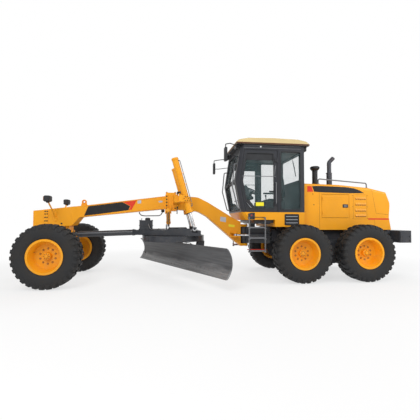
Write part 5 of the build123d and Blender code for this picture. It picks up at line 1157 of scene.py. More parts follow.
# Outlines (x, z) on the cab's sides: the door's glass, its sun strip, its rim and low dark panel.
DOOR_OPENING = [(cab_front(z, 0.158), z) for z in (1.683, 2.33, 2.997)]
DOOR_OPENING += [(DOOR_REAR, 2.997), (DOOR_REAR, 1.683)]
SUN_STRIP = [(cab_front(z, 0.160), z) for z in (2.83, 2.995)] + [(-1.025, 2.995), (-1.025, 2.83)]
DOOR_RIM = ((-1.110, 1.620), (-1.110, 3.060), (-0.322, 3.060), (-0.222, 2.33), (-0.350, 1.620))
LOW_PANEL = ((-0.384, 1.676), (-0.352, 1.882), (-0.430, 1.880), (-0.528, 1.762), (-0.582, 1.676))
QUARTER_OPENING = upright(-1.19, -1.69, 1.66, 3.05)
DOOR_STICKER = upright(-0.590, -0.785, 1.745, 1.832)
LATCH = ((-0.372, 1.818), (-0.354, 1.828), (-0.462, 1.700), (-0.480, 1.700))
# Door handles as (x, distance out of the door's face, z): a loop high up, a level bar and a grab rail,
# and for each its radius, the radius of its bends and the direction its section is set to.
LOOP = ((-1.060, 0.0, 2.690), (-1.050, 0.040, 2.690), (-1.030, 0.040, 2.480), (-1.045, 0.0, 2.470))
LEVEL_BAR = ((-1.060, 0.0, 2.440), (-1.055, 0.038, 2.440), (-0.62, 0.038, 2.440), (-0.30, 0.032, 2.440),
             (-0.262, 0.0, 2.440))
GRAB_RAIL = ((-1.070, 0.0, 2.300), (-1.070, 0.048, 2.300), (-1.070, 0.048, 1.800), (-1.070, 0.0, 1.800))
HANDLES = ((LOOP, 0.009, 0.02, AHEAD), (LEVEL_BAR, 0.0085, 0.02, UP), (GRAB_RAIL, 0.011, 0.03, AHEAD))
HINGE_BOLTS = [(-1.068, z + dz) for z in (1.80, 2.83) for dz in (-0.03, 0.03)]
for name, side in SIDES:
    body = "cab_door_" + name
    opening = side_trim(DOOR_OPENING, side, DOOR_FACE + 0.002, 0.026, 0.008)
    rim = side_trim(DOOR_RIM, side, DOOR_FACE + 0.001, 0.010, 0.006)
    piece("door_gasket_" + name, body, "black_plastic", opening, rim, smooth=40)
    strip = side_plate(SUN_STRIP, side, DOOR_GLASS_FACE, 0.0008)
    panel = side_plate(rounded(LOW_PANEL, 0.012, 3), side, 0.790, 0.012, 0.003)
    piece("door_dark_panel_" + name, body, "black_plastic", strip, panel)
    sticker = side_plate(rounded(DOOR_STICKER, 0.010, 3), side, DOOR_GLASS_FACE, 0.0010)
    piece("door_sticker_" + name, body, "yellow_paint", sticker, finish=STICKER_YELLOW)
    loop, level_bar, grab_rail = (
        tube([(x, side * (DOOR_FACE + out), z) for x, out, z in route], radius, 12, bend, reference)
        for route, radius, bend, reference in HANDLES
    )
    latch = side_plate(rounded(LATCH, 0.006, 3), side, 0.802, 0.014, 0.004)
    piece("door_handles_" + name, body, "dark_paint", loop, level_bar, grab_rail, finish=RAIL_GREY, smooth=45)
    piece("door_latch_" + name, body, "dark_paint", latch, finish=STICKER_GREY, smooth=45)
    hinge_bolts = side_bolts(0.009, side, [(x, side * 0.814, z) for x, z in HINGE_BOLTS])
    piece("door_hinge_bolts_" + name, body, "cast_iron", hinge_bolts, smooth=30)

SCREEN_HALF = 0.6       # half width of the front and rear windows
quarter_rings = [side_trim(QUARTER_OPENING, side, CAB_FACE + 0.002, 0.030, 0.010, 0.05) for _, side in SIDES]
screen_rings = []
for low, high in ((1.645, 2.298), (2.362, 3.055)):
    corners = [
        (cab_front(z, 0.002), y * SCREEN_HALF, z) for y, z in ((-1, low), (1, low), (1, high), (-1, high))
    ]
    screen_rings.append(trim_ring(corners, AHEAD, 0.030, 0.012, 0.05))
corners = [(CAB_TAIL - 0.002, y * SCREEN_HALF, z) for y, z in ((-1, 2.40), (1, 2.40), (1, 3.04), (-1, 3.04))]
rear_ring = trim_ring(corners, -AHEAD, 0.030, 0.010, 0.05)
piece("window_gaskets", "rear_frame", "black_plastic", *quarter_rings, *screen_rings, rear_ring, smooth=40)


def wiper(places, out):
    """A wiper: a capped pivot, an arm to the middle of its blade, and the blade with its rubber lip.
    Its places are the pivot, the arm's tip and the blade's two ends."""
    pivot, tip, first, last = np.asarray(places, float)
    hub = lathe([(0.0, 0.034), (0.012, 0.032), (0.017, 0.022), (0.020, 0.0)], pivot, out, 20)
    lift = unit(out) * 0.024
    arm = tube([pivot + lift, tip + lift], 0.0055, 8, 0.02, (0, 1, 0.2))
    blade_way = np.linspace(first + lift * 0.6, last + lift * 0.6, 12)
    return join(hub, arm, sweep(blade_way, rounded(rectangle(0.009, 0.022), 0.003, 2), out))


# Wipers of the upper and lower front windows as (y, z), then of the rear window.
UPPER_WIPER = ((0.10, 2.345), (0.30, 2.68), (0.20, 2.44), (0.38, 2.93))
LOWER_WIPER = ((-0.10, 2.318), (-0.28, 2.02), (-0.20, 2.25), (-0.34, 1.78))
REAR_WIPER = ((0.0, 3.075), (0.20, 2.76), (0.10, 2.96), (0.28, 2.54))
wipers = join(
    wiper([(cab_front(z), y, z) for y, z in UPPER_WIPER], (1, 0, 0.1)),
    wiper([(cab_front(z), y, z) for y, z in LOWER_WIPER], (1, 0, -0.2)),
    wiper([(CAB_TAIL, y, z) for y, z in REAR_WIPER], -AHEAD),
)
piece("wipers", "rear_frame", "black_plastic", wipers, smooth=40)

# Roof: a dark line of painted shade under its rim, header strips and small lamps over the doors, five
# beads on each shoulder, and eaves that fill in under the rim.
ROOF_FRONT, ROOF_TAIL, ROOF_HALF, ROOF_RIM = -0.1185, -1.9015, 0.8515, 3.217
roof_corners = upright(ROOF_FRONT, ROOF_TAIL, -ROOF_HALF, ROOF_HALF)
roof_rim = rounded([(x, y, ROOF_RIM) for x, y in roof_corners], 0.02, 4)
roof_rim_shade = sweep(roof_rim, rounded(rectangle(0.005, 0.034), 0.002, 2), UP, ring=True)
piece("roof_rim_shade", "rear_frame", "dark_paint", roof_rim_shade, finish=ROOF_RIM_SHADE, smooth=40)
HEADER_LAMP = ((0.0, 0.010), (0.015, 0.009), (0.022, 0.004), (0.024, -0.002))
header_strips, header_dots = [], []
for _, side in SIDES:
    for low, high in ((3.112, 3.120), (3.170, 3.178)):
        strip = [(-0.300, low), (-1.700, low), (-1.700, high), (-0.300, high)]
        header_strips.append(side_plate(strip, side, CAB_FACE, 0.006, 0.001))
    header_dots.append(lathe(HEADER_LAMP, (-0.708, side * CAB_FACE, 3.147), (0, side, 0), 24))
piece("header_strips", "rear_frame", "dark_paint", *header_strips, finish=RAIL_GREY, smooth=40)
piece("header_lamps", "rear_frame", "glass", *header_dots, finish=CLEAR_LENS, smooth=50)
roof_beads = []
for y in (-0.55, -0.275, 0.0, 0.275, 0.55):
    for (x, z), (x_end, z_end) in (((-0.210, 3.306), (-0.385, 3.3405)), ((-1.635, 3.3405), (-1.810, 3.306))):
        line = np.linspace((x, y, z), (x_end, y, z_end), 12)
        roof_beads.append(sweep(line, circle(0.016, 10) * (1.0, 0.5), UP))
piece("roof_beads", "rear_frame", "cream_paint", *roof_beads, smooth=50)
EAVES = (3.188, 3.1995)
eaves = [block((x, -0.846, EAVES[0]), (x + 0.114, 0.846, EAVES[1]), 0.003) for x in (-0.238, -1.896)]
eaves += [side_block(side, (-1.800, -0.220), (0.802, 0.846), EAVES, 0.003) for _, side in SIDES]
piece("roof_eaves", "rear_frame", "cab_paint", *eaves, smooth=35)

# Work lamps: a ribbed lens in a thin bezel on each lamp box, front and rear.
WORK_LENS = ((0.0, 0.006), (0.026, 0.005), (0.036, 0.002), (0.038, -0.003))
WORK_BEZEL = ((0.037, -0.003), (0.039, 0.007), (0.044, 0.007), (0.047, -0.003))
WORK_LAMPS = [
    ((x, side * 0.630, 3.150), facing)
    for x, facing in ((-0.130, AHEAD), (-1.890, -AHEAD)) for _, side in SIDES
]
lenses, bezels = (
    [lathe(section, place, facing, 28) for place, facing in WORK_LAMPS] for section in (WORK_LENS, WORK_BEZEL)
)
piece("work_lamp_lenses", "rear_frame", "glass", *lenses, finish=CLEAR_LENS, smooth=50)
piece("work_lamp_bezels", "rear_frame", "black_plastic", *bezels, smooth=50)

# Side vent of the cab base: a black frame, a dark field behind and three pale bars.
VENT = upright(-1.293, -1.631, 1.301, 1.550)
VENT_BARS = (1.350, 1.425, 1.500)
vent_frames = [side_trim(VENT, side, CAB_FACE + 0.004, 0.018, 0.012, 0.02) for _, side in SIDES]
vent_fields = [side_plate(rounded(VENT, 0.02, 3), side, CAB_FACE, 0.002) for _, side in SIDES]
piece("vent_frames", "rear_frame", "black_plastic", *vent_frames, *vent_fields, smooth=40)
bar_section = rounded(rectangle(0.012, 0.012), 0.004, 2)
vent_bars = []
for _, side in SIDES:
    y = side * (CAB_FACE + 0.006)
    vent_bars += [
        sweep(np.linspace((-1.318, y, z), (-1.606, y, z), 8), bar_section, (0, side, 0)) for z in VENT_BARS
    ]
piece("vent_bars", "rear_frame", "dark_paint", *vent_bars, finish=STICKER_GREY, smooth=40)

# Floor frame under the cab: a dark tray with two cross ribs.
tray = [block((-1.045, -0.715, 1.345), (-0.560, 0.715, 1.418), 0.010)]
tray += [block((x - 0.030, -0.640, 1.322), (x + 0.030, 0.640, 1.350), 0.008) for x in (-0.960, -0.660)]
piece("cab_floor_frame", "rear_frame", "dark_paint", *tray, smooth=35)

# Cab mounts: a bracket with its bolts and a red reflector at each front foot, and a thin shelf above
# the ladder.
MOUNT_FACE = 0.810
MOUNT = ((-0.400, 1.430), (-0.400, 1.560), (-0.465, 1.585), (-0.560, 1.585), (-0.560, 1.430))
MOUNT_BOLTS = ((-0.430, 1.460), (-0.530, 1.460), (-0.530, 1.555))
REFLECTOR = ((0.0, 0.007), (0.014, 0.006), (0.019, 0.001), (0.020, -0.001))
mounts, pads = [], []
for _, side in SIDES:
    mounts.append(side_plate(rounded(MOUNT, 0.012, 3), side, CAB_FACE, 0.010, 0.003))
    mounts.append(side_block(side, (-0.800, -0.390), (0.792, 0.820), (1.476, 1.486), 0.003))
    pads.append(side_bolts(0.012, side, [(x, side * MOUNT_FACE, z) for x, z in MOUNT_BOLTS]))
piece("cab_mount_brackets", "rear_frame", "dark_paint", *mounts, smooth=35)
piece("cab_mount_bolts", "rear_frame", "cast_iron", *pads, smooth=30)
red_dots = [lathe(REFLECTOR, (-0.480, side * MOUNT_FACE, 1.520), (0, side, 0), 24) for _, side in SIDES]
piece("cab_reflectors", "rear_frame", "glass", *red_dots, finish=RED_LENS, smooth=50)

# ---------------------------------------------------------------- cab inside

WHEEL_CENTRE = np.array([-0.700, 0.0, 2.160])
WHEEL_WAY = unit((-0.45, 0.0, 0.89))
RIM_RADIUS = 0.187
rim_up = np.cross(WHEEL_WAY, LEFT)
rim_spokes = circle(RIM_RADIUS, 64) @ np.stack([LEFT, rim_up])
steering_rim = sweep(WHEEL_CENTRE + WHEEL_WAY * 0.011 + rim_spokes, circle(0.0175, 12), WHEEL_WAY, ring=True)
hub = lathe([(0.0, 0.040), (0.030, 0.038), (0.046, 0.028), (0.050, 0.010)], WHEEL_CENTRE, WHEEL_WAY, 32)
column = tube([(-0.600, 0.0, 1.92), (-0.655, 0.0, 2.06), (-0.695, 0.0, 2.150)], 0.040, 20, 0.04, LEFT)
# Levers: a box each side of the column on a short arm, with four levers and their knobs.
KNOB = ((0.0, 0.036), (0.009, 0.034), (0.0135, 0.024), (0.012, 0.010), (0.007, 0.0), (0.0, 0.0))
lever_parts, knobs = [], []
for _, side in SIDES:
    lever_parts.append(side_block(side, (-0.660, -0.520), (0.125, 0.345), (1.930, 2.010), 0.016))
    arm_route = [
        (x, side * y, z) for x, y, z in ((-0.560, 0.12, 1.90), (-0.590, 0.20, 1.92), (-0.590, 0.24, 1.95))
    ]
    lever_parts.append(tube(arm_route, 0.020, 10, 0.03, AHEAD))
    for k in range(4):
        y = side * (0.222 + 0.034 * k)
        tip = (-0.620 - 0.004 * k, y, 2.145)
        lever_parts.append(tube([(-0.585, y, 2.000), (-0.590, y, 2.060), tip], 0.005, 8, 0.03, LEFT))
        knobs.append(lathe(KNOB, tip, (-0.3, 0, 1), 14))
screen_box = block((-0.480, -0.600, 2.050), (-0.430, -0.400, 2.210), 0.014)
arm_route = [(-0.460, -0.500, 2.060), (-0.460, -0.560, 1.96), (-0.400, -0.740, 1.94)]
screen_arm = tube(arm_route, 0.011, 10, 0.04, AHEAD)
column_parts = (steering_rim, hub, column, screen_box, screen_arm, *lever_parts)
piece("steering_column", "rear_frame", "black_plastic", *column_parts, smooth=40)
piece("lever_knobs", "rear_frame", "black_plastic", *knobs, finish=STICKER_GREY, smooth=50)
screen = plate(rounded(rectangle(0.166, 0.126), 0.008, 3), (-0.480, -0.500, 2.130), -LEFT, UP, 0.0015)
piece("gauge_screen", "rear_frame", "glass", screen, finish=MIRROR_GLASS)

# Floor mat with raised ribs, and a dark lining inside the painted base.
mat = [block((-1.728, -0.748, 1.4802), (-0.440, 0.748, 1.4875), 0.002)]
for x in np.arange(-1.05, -0.46, 0.055):
    mat.append(
        sweep([(x, y, 1.488) for y in np.linspace(-0.70, 0.70, 12)], circle(0.008, 8) * (1.0, 0.5), UP)
    )
piece("floor_mat", "rear_frame", "black_plastic", *mat, finish=HOSE_RUBBER, smooth=40)
lining = [side_block(side, (-1.726, -0.420), (0.742, 0.7495), (1.486, 1.604), 0.002) for _, side in SIDES]
lining.append(block((-1.7295, -0.748, 1.486), (-1.720, 0.748, 2.385), 0.002))
lining.append(block((-1.720, -0.740, 3.062), (-0.330, 0.740, 3.0795), 0.003))
piece("cab_lining", "rear_frame", "black_plastic", *lining, smooth=40)

# Instrument hood ahead of the wheel, and a side console with its pad each side of the seat.
INSTRUMENT_HOOD = np.array(
    [(-0.30, 1.96), (-0.33, 2.16), (-0.40, 2.27), (-0.46, 2.25), (-0.52, 2.06), (-0.50, 1.94)]
)
CONSOLE_KNOB = ((0.0, 0.060), (0.018, 0.054), (0.024, 0.034), (0.017, 0.010), (0.012, 0.0))
hood_outline = rounded((INSTRUMENT_HOOD * (-1, 1))[::-1], 0.030, 4)
hood_shape = plate(hood_outline, (0, 0.170, 0), -AHEAD, UP, 0.340, 0.020)
consoles = []
for _, side in SIDES:
    y = side * 0.415
    consoles.append(side_block(side, (-1.420, -0.900), (0.330, 0.500), (1.488, 1.900), 0.022))
    consoles.append(side_block(side, (-1.380, -1.000), (0.345, 0.485), (1.898, 1.945), 0.018))
    consoles.append(tube([(-0.960, y, 1.890), (-0.950, y, 1.990)], 0.012, 10, 0.02, LEFT))
    consoles.append(lathe(CONSOLE_KNOB, (-0.950, y, 1.985), (0.1, 0, 1), 18))
piece("cab_consoles", "rear_frame", "black_plastic", hood_shape, *consoles, smooth=40)

# Seat: a pedestal with its bellows, arm rests, and two padded cushions.
BELLOWS = ((0.150, 1.500), (0.185, 1.505), (0.160, 1.545), (0.185, 1.585), (0.160, 1.625), (0.185, 1.665),
           (0.160, 1.705), (0.165, 1.730))
bellows = lathe(BELLOWS, (-1.250, 0, 0), UP, 40)
foot = block((-1.420, -0.170, 1.480), (-1.080, 0.170, 1.510), 0.008)
pan = block((-1.470, -0.235, 1.728), (-1.030, 0.235, 1.808), 0.024)
arms = []
for _, side in SIDES:
    arms.append(side_block(side, (-1.400, -1.090), (0.236, 0.269), (2.120, 2.165), 0.014))
    strut = [
        (x, side * y, z)
        for x, y, z in ((-1.390, 0.245, 2.140), (-1.425, 0.250, 2.060), (-1.450, 0.225, 1.990))
    ]
    arms.append(tube(strut, 0.013, 10, 0.03, LEFT))
pedestal = (foot, pan, bellows, *arms)
piece("seat_pedestal", "rear_frame", "black_plastic", *pedestal, smooth=40, stands_for=("seat",))

FABRIC_VOXEL = 0.006
FABRIC_PRESSURE = 4.0
CLOTH_FRAMES = 20
PILLOW_STEPS = 36
SIDE_GROOVE, TOP_GROOVE = 0.006, 0.009  # widths of the grooves along the seams
TOP_GROOVE_DEPTH = 0.010


def cushion_core(half, count, power=4.0):
    """A closed pillow on a grid of angles: a superellipsoid, every half size times sign(c) |c|^(2/power)
    of the cosines and sines of its two angles."""
    up_angle = np.linspace(-math.pi / 2, math.pi / 2, count)[1:-1][:, None]
    round_angle = (np.arange(2 * count) * TURN / (2 * count))[None, :]

    def power_of(value):
        """sign(value) |value|^(2/power)."""
        return np.sign(value) * np.abs(value) ** (2.0 / power)

    level = power_of(np.cos(up_angle))
    points = np.stack([
        half[0] * level * power_of(np.cos(round_angle)),
        half[1] * level * power_of(np.sin(round_angle)),
        half[2] * power_of(np.sin(up_angle)) + 0 * round_angle,
    ], axis=-1)
    return capped(points)


def as_it_stands(thing):
    """A copy of an object's mesh with its modifiers applied at the present frame."""
    return bpy.data.meshes.new_from_object(thing.evaluated_get(bpy.context.evaluated_depsgraph_get()))


def vertex_places(mesh):
    """The places of a mesh's points, one to a row."""
    places = np.empty(len(mesh.vertices) * 3)
    mesh.vertices.foreach_get("co", places)
    return places.reshape(-1, 3)


def padded_cushion(name, half, middle, lean, bow, reach, seams, edge_seam):
    """A stuffed cushion: the pillow is remeshed, blown up by a cloth simulation under pressure with
    each point's travel held to reach, then sewn: a groove exp(-(d / w)^2) deep along every seam line
    and round its side. lean turns it about Y, and bow curves it forward by bow * (y / half width)^2."""
    points, faces = cushion_core(half, PILLOW_STEPS)
    mesh = bpy.data.meshes.new(name)
    mesh.from_pydata(points.tolist(), [], faces)
    made = bpy.data.objects.new(name, mesh)
    bpy.context.scene.collection.objects.link(made)
    fine = made.modifiers.new("fine", "REMESH")
    fine.mode = "VOXEL"
    fine.voxel_size = FABRIC_VOXEL
    fine.use_smooth_shade = True
    made.data = as_it_stands(made)
    made.modifiers.clear()
    start = vertex_places(made.data)
    cloth = made.modifiers.new("cloth", "CLOTH")
    cloth.settings.use_pressure = True
    cloth.settings.uniform_pressure_force = FABRIC_PRESSURE
    cloth.settings.effector_weights.gravity = 0.0
    cloth.point_cache.frame_start = 1
    cloth.point_cache.frame_end = CLOTH_FRAMES
    for step in range(1, CLOTH_FRAMES + 1):
        bpy.context.scene.frame_set(step)
    move = vertex_places(as_it_stands(made)) - start
    length = np.linalg.norm(move, axis=-1, keepdims=True)
    made.modifiers.clear()
    points = start + move * np.minimum(1.0, reach / np.maximum(length, 1e-9))
    bpy.context.scene.frame_set(1)
    points = np.asarray(points, float)
    out = unit(points / np.asarray(half) ** 2)
    groove = np.exp(-(points[:, 2] / SIDE_GROOVE) ** 2) * edge_seam
    for axis, place in seams:
        sewn = np.exp(-((points[:, axis] - place) / TOP_GROOVE) ** 2) * (out[:, 2] > 0.2)
        groove = groove + sewn * TOP_GROOVE_DEPTH
    points = points - out * groove[:, None]
    points[:, 2] += bow * (points[:, 1] / half[1]) ** 2
    turned = np.array(Matrix.Rotation(lean, 3, "Y"))
    points = points @ turned.T + np.asarray(middle)
    made.data.vertices.foreach_set("co", points.ravel())
    made.data.update()
    made.data.materials.clear()
    made.data.materials.append(FINISHES["seat_fabric"])
    made.data.shade_smooth()
    soft = made.modifiers.new("soft", "SUBSURF")
    soft.levels = 1
    soft.render_levels = 1
    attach(made, "rear_frame")
    return made


padded_cushion("seat_cushion", (0.235, 0.245, 0.062), (-1.235, 0.0, 1.875), math.radians(-3), 0.012, 0.012,
               ((0, -0.06), (0, 0.08), (1, -0.14), (1, 0.14)), 0.010)
padded_cushion("seat_back", (0.345, 0.215, 0.052), (-1.470, 0.0, 2.330), math.radians(-82), 0.014, 0.012,
               ((0, -0.16), (0, 0.0), (0, 0.16), (1, -0.125), (1, 0.125)), 0.009)

# ---------------------------------------------------------------- mirrors, rails and ladder

MIRROR_Y = 0.950
mirror_pane = rounded(rectangle(0.156, 0.284), 0.030, 5)
mirror_faces = [plate(mirror_pane, (0.1352, side * MIRROR_Y, 2.905), -LEFT, UP, 0.0025) for _, side in SIDES]
piece("mirror_faces", "rear_frame", "glass", *mirror_faces, finish=MIRROR_GLASS)
mirror_clamps = [
    side_block(side, (0.148, 0.184), (MIRROR_Y - 0.022, MIRROR_Y + 0.022), (z - 0.016, z + 0.016), 0.006)
    for _, side in SIDES for z in (2.900, 3.045)
]
piece("mirror_clamps", "rear_frame", "black_plastic", *mirror_clamps, smooth=40)

# Ladder treads: two rows of studs on each and a bracket at each end, and a red bar along the lowest.
TREADS = (0.705, 1.000, 1.240)
TREAD_Y = 0.900
STUD_PLACES = [(-0.44 - 0.030 * k, dy) for k in range(11) for dy in (-0.016, 0.016)]
stud = lathe([(0.0, 0.006), (0.006, 0.006), (0.009, 0.0), (0.009, -0.002)], (0, 0, 0), UP, 8)
studs, tread_sides = [], []
for _, side in SIDES:
    for z in TREADS:
        studs.append(copies(stud, [(x, side * TREAD_Y + dy, z + 0.012) for x, dy in STUD_PLACES]))
        for x in (-0.400, -0.780):
            ends = (TREAD_Y - 0.034, TREAD_Y + 0.034)
            tread_sides.append(side_block(side, (x - 0.022, x + 0.022), ends, (z - 0.034, z - 0.010), 0.006))
piece("tread_studs", "rear_frame", "dark_paint", *studs, finish=RAIL_GREY, smooth=35)
piece("tread_brackets", "rear_frame", "dark_paint", *tread_sides, finish=RAIL_GREY, smooth=35)
# Round feet of the hood's rails, and the grey of ladders and rails.
RAIL_FOOT = ((0.0155, 0.020), (0.022, 0.018), (0.034, 0.008), (0.036, -0.004))
rail_feet = [
    lathe(RAIL_FOOT, (x, side * 0.490, z), UP, 24)
    for _, side in SIDES for x, z in ((-2.290, 2.324), (-3.600, 2.244))
]
piece("rail_feet", "rear_frame", "dark_paint", *rail_feet, finish=RAIL_GREY, smooth=40)
frame["nodes"]["steps_and_rails"].data.materials.clear()
frame["nodes"]["steps_and_rails"].data.materials.append(RAIL_GREY)
red_bars = [tube([(x, side * 0.862, 0.735) for x in (-0.360, -0.820)], 0.009, 10, 0.02) for _, side in SIDES]
piece("ladder_red_bars", "rear_frame", "dark_paint", *red_bars, finish=RED_PAINT, smooth=40)


# ---------------------------------------------------------------- hood and rear

TAIL_HEIGHTS = (1.180, 1.490, 1.930, 2.140)
TAIL_PLACES = (-4.185, -4.130, -4.165, -4.080)


def tail_at(z, out=0.0):
    """How far back the hood's tail stands at a height, moved out of its face."""
    return float(np.interp(z, TAIL_HEIGHTS, TAIL_PLACES)) - out


def seam(points, side, y, width):
    """A dark shadow gap along a side face: a flat strip with rounded corners a hair proud of it."""
    path = np.asarray(points, float)
    runs = [np.linspace(a, b, 8, endpoint=False) for a, b in zip(path, path[1:])]
    path = np.concatenate(runs + [path[-1:]])
    return sweep(on_side(path, side, y), rectangle(width, 0.0012), (0, side, 0))


# Louvres: the mouth and face of every pressed lip, dark with painted shade, four rows of five, with seams and
# screws.
LOUVRE_ROWS = (2.005, 1.860, 1.706, 1.570)
LOUVRE_COLUMNS = 5
LOUVRE_START = -3.508
LOUVRE_STEP = 0.0586
LIP_SHEET = 0.001
LIP_STAND, LIP_LEAN = 0.0129, 0.285  # how far a lip's foot stands out, and how much it leans back
PANEL_SEAM = ((-3.162, 1.452), (-3.162, 2.064), (-3.527, 2.064), (-3.527, 1.452), (-3.162, 1.452))
# Hood seams as (points, width), and the places of its small screws.
HOOD_SEAMS = (
    (PANEL_SEAM, 0.004),
    (((-2.262, 1.200), (-2.262, 2.100)), 0.0055),
    (((-3.670, 2.183), (-3.780, 1.599), (-4.128, 1.560)), 0.0055),
    (((-3.735, 1.480), (-3.735, 1.195)), 0.004),
)
HOOD_SCREWS = [(x, z) for x in (-3.145, -3.544) for z in (1.470, 1.758, 2.046)]
HOOD_SCREWS += [
    (-1.900, 1.230), (-1.900, 1.620), (-1.900, 2.010), (-2.200, 1.230), (-3.20, 1.230), (-3.68, 1.230),
]


def tapered(x, low, high, foot, head):
    """Corners of an outline round x, foot wide at its low edge and head wide at its high edge."""
    return [(x - foot / 2, low), (x + foot / 2, low), (x + head / 2, high), (x - head / 2, high)]


def louvre_lip(x, top, side):
    """The face of a pressed lip, which leans back to the panel as it rises, dark with painted shade."""
    points, faces = side_plate(tapered(x, top - 0.044, top - 0.016, 0.043, 0.033), side, HOOD_HALF, LIP_SHEET)
    risen = points[:, 2] - (top - 0.0455)
    points[:, 1] += side * (LIP_STAND - risen * LIP_LEAN)
    return points, faces


mouths, seams, seam_screws = [], [], []
for _, side in SIDES:
    for top in LOUVRE_ROWS:
        for column in range(LOUVRE_COLUMNS):
            x = LOUVRE_START + (column + 0.5) * LOUVRE_STEP
            # Painted shade: a dark sheet over each louvre's mouth, where the opening would be in shade.
            mouth = rounded(tapered(x, top - 0.074, top - 0.046, 0.043, 0.043), 0.005, 3)
            mouths += [side_plate(mouth, side, HOOD_HALF, 0.0014), louvre_lip(x, top, side)]
    seams += [seam(points, side, HOOD_HALF, width) for points, width in HOOD_SEAMS]
    seam_screws.append(side_bolts(0.0065, side, [(x, side * HOOD_HALF, z) for x, z in HOOD_SCREWS]))
piece("louvre_painted_shade", "rear_frame", "yellow_paint", *mouths, finish=NUT_BROWN_AND_LOUVRE_SHADE)
piece("hood_seams", "rear_frame", "yellow_paint", *seams, finish=SEAM_BROWN)
piece("hood_screws", "rear_frame", "yellow_paint", *seam_screws, finish=NUT_BROWN_AND_LOUVRE_SHADE, smooth=30)
MARKS = (upright(-2.083, -2.105, 2.052, 2.078), upright(-2.106, -2.130, 1.786, 1.812))
marks = [side_plate(rounded(shape, 0.004, 3), side, HOOD_HALF, SHEET) for _, side in SIDES for shape in MARKS]
piece("hood_marks", "rear_frame", "yellow_paint", *marks, finish=SEAM_BROWN)
TOP_PLACES, TOP_HEIGHTS = (1.83, 2.81, 3.60), (2.330, 2.310, 2.246)  # the hood's top, by distance back
top_seams = []
for x in (-2.150, -3.120):
    z = float(np.interp(-x, TOP_PLACES, TOP_HEIGHTS)) + 0.0004
    top_seams.append(sweep(np.linspace((x, -0.52, z), (x, 0.52, z), 20), rectangle(0.006, 0.0012), UP))
piece("hood_top_seams", "rear_frame", "yellow_paint", *top_seams, finish=SEAM_BROWN)

# Engine doors: a latch tray with its paddle and lock, and a raised bead round the panel.
LATCH_TRAY = rounded(upright(-2.876, -3.020, 1.732, 1.818), 0.014, 4)
LATCH_PADDLE = rounded(upright(-2.905, -2.985, 1.748, 1.802), 0.008, 4)
LATCH_SHEET = 0.006
DOOR_BEAD = upright(-2.390, -2.980, 1.535, 2.005)
for name, side in SIDES:
    body = "engine_door_" + name
    tray = side_plate(LATCH_TRAY, side, HOOD_HALF, LATCH_SHEET, 0.002)
    piece("hood_latch_" + name, body, "black_plastic", tray, smooth=40)
    paddle = side_plate(LATCH_PADDLE, side, HOOD_HALF + LATCH_SHEET, 0.005, 0.002)
    lock_place = (-3.003, side * (HOOD_HALF + 0.003), 1.775)
    lock = lathe([(0.0, 0.012), (0.008, 0.011), (0.011, 0.006), (0.011, 0.0)], lock_place, (0, side, 0), 20)
    piece("hood_latch_paddle_" + name, body, "chrome_rod", paddle, lock, finish=RAIL_GREY, smooth=40)
    bead = side_trim(DOOR_BEAD, side, HOOD_HALF - 0.001, 0.012, 0.005, 0.04)
    piece("engine_door_bead_" + name, body, "yellow_paint", bead, smooth=50)

# Tail: the grille's frame with its bolts, upright bars over the slots, and a red lamp lens.
grille_heights = (1.262, 1.490, 1.878)
GRILLE_HALF = 0.492
left_edge, right_edge = (
    [(tail_at(z, 0.003), y, z) for z in grille_heights] for y in (GRILLE_HALF, -GRILLE_HALF)
)
grille_frame = trim_ring(left_edge + right_edge[::-1], -AHEAD, 0.024, 0.014, 0.03)
piece("grille_frame", "rear_frame", "dark_paint", grille_frame, smooth=40)
upright_bars = []
for y in np.linspace(-0.430, 0.430, 11):
    path = [(tail_at(z, 0.002), y, z) for z in np.linspace(1.285, 1.855, 20)]
    upright_bars.append(sweep(path, rounded(rectangle(0.007, 0.008), 0.002, 2), LEFT))
piece("grille_bars", "rear_frame", "dark_paint", *upright_bars, smooth=40)
grille_bolts = [(tail_at(z, 0.010), y, z) for z in (1.262, 1.878) for y in (-0.45, -0.15, 0.15, 0.45)]
piece("grille_bolts", "rear_frame", "cast_iron", copies(bolt(0.008), grille_bolts, -LEFT, UP), smooth=30)
TAIL_LENS = ((0.0, 0.008), (0.030, 0.007), (0.044, 0.003), (0.047, -0.002))
tail_lens = lathe(TAIL_LENS, (-4.010, 0.0, 2.238), -AHEAD, 28)
piece("tail_lens", "rear_frame", "glass", tail_lens, finish=RED_LENS, smooth=50)

# Ballast: side bolts and a bracket plate where it meets the frame.
BALLAST_FACE = 0.900
side_bolt_places = [(x, z) for x in (-4.240, -4.440) for z in (0.925, 1.020)]
ballast_bolts = [
    side_bolts(0.013, side, [(x, side * (BALLAST_FACE - 0.001), z) for x, z in side_bolt_places])
    for _, side in SIDES
]
piece("ballast_bolts", "rear_frame", "cast_iron", *ballast_bolts, smooth=30)
bracket = rounded(upright(-4.195, -4.228, 0.900, 1.130), 0.006, 3)
brackets = [side_plate(bracket, side, BALLAST_FACE, 0.010, 0.003) for _, side in SIDES]
piece("ballast_brackets", "rear_frame", "dark_paint", *brackets, smooth=35)
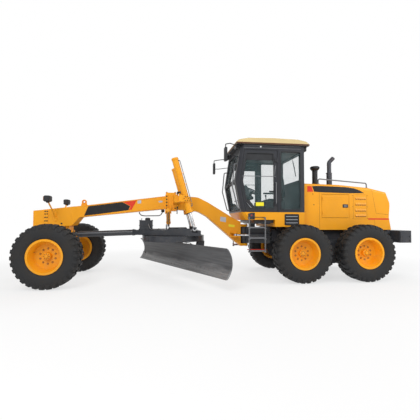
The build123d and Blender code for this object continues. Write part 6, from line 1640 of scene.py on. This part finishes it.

# Exhaust and precleaner: six rows of dark slots round the guard, painted shade where its openings are,
# bands and lugs on the stack, and bands, a rim and a wing nut on the precleaner.
EXHAUST = np.array([-2.860, 0.0, 0.0])
PRECLEANER = np.array([-2.450, 0.0, 0.0])
GUARD_ROWS, GUARD_COLUMNS, GUARD_RADIUS = 6, 10, 0.0695
slot_shape = rounded(rectangle(0.012, 0.034), 0.005, 2)
guard_slots = []
for row in range(GUARD_ROWS):
    for column in range(GUARD_COLUMNS):
        angle = TURN * (column + 0.5 * (row % 2)) / GUARD_COLUMNS
        way = np.array([math.cos(angle), math.sin(angle), 0.0])
        place = EXHAUST + UP * (2.385 + 0.052 * row) + way * GUARD_RADIUS
        guard_slots.append(plate(slot_shape, place, np.cross(UP, way), UP, 0.0012))
# Painted shade: a dark sheet on each slot of the guard, where its opening would be in shade.
piece("exhaust_guard_slot_shade", "rear_frame", "exhaust_steel", *guard_slots, finish=DECAL_AND_SLOT_SHADE_BLACK)
stack_bands = [
    hoop(EXHAUST + UP * z, UP, radius, 0.018, 0.003)
    for z, radius in ((2.352, 0.0715), (2.690, 0.0715), (2.920, 0.0565))
]
stack_lugs = [block((-2.790, -0.010, z - 0.010), (-2.766, 0.010, z + 0.010), 0.003) for z in (2.352, 2.690)]
piece("exhaust_bands", "rear_frame", "exhaust_steel", *stack_bands, *stack_lugs, smooth=40)
bowl_bands = [hoop(PRECLEANER + UP * z, UP, 0.0715, 0.016, 0.003) for z in (2.420, 2.735)]
bowl_rim = hoop(PRECLEANER + UP * 2.827, UP, 0.1195, 0.010, 0.004)
wing = lathe([(0.0, 0.016), (0.008, 0.015), (0.012, 0.006), (0.020, 0.0)], PRECLEANER + UP * 2.8645, UP, 20)
piece("precleaner_bands", "rear_frame", "black_plastic", *bowl_bands, bowl_rim, wing, smooth=40)

# Tandem cases: a bolted cover over the pivot with a plug in its middle, and a small yellow gauge.
PIVOT_X, PIVOT_Z, CASE_FACE = -2.349, 0.660, 0.800
COVER = ((0.0, 0.020), (0.070, 0.020), (0.078, 0.012), (0.118, 0.012), (0.122, 0.006), (0.122, -0.004))
GAUGE = rounded(upright(-2.325, -2.372, 0.860, 0.905), 0.008, 3)
covers, cover_bolts, plugs, gauges = [], [], [], []
for _, side in SIDES:
    way = (0, side, 0)
    hub, bolt_face, plug_face = (
        (PIVOT_X, side * (CASE_FACE + proud), PIVOT_Z) for proud in (0.0, 0.012, 0.020)
    )
    covers.append(lathe(COVER, hub, way, 48))
    cover_bolts.append(bolt_ring(bolt_face, way, 0.100, 12, 0.009))
    plugs.append(bolt_ring(plug_face, way, 0.0, 1, 0.018))
    gauges.append(side_plate(GAUGE, side, CASE_FACE, 0.030, 0.006))
piece("tandem_covers", "rear_frame", "dark_paint", *covers, smooth=40)
piece("tandem_bolts", "rear_frame", "cast_iron", *cover_bolts, *plugs, smooth=30)
piece("tandem_gauges", "rear_frame", "yellow_paint", *gauges, smooth=40)
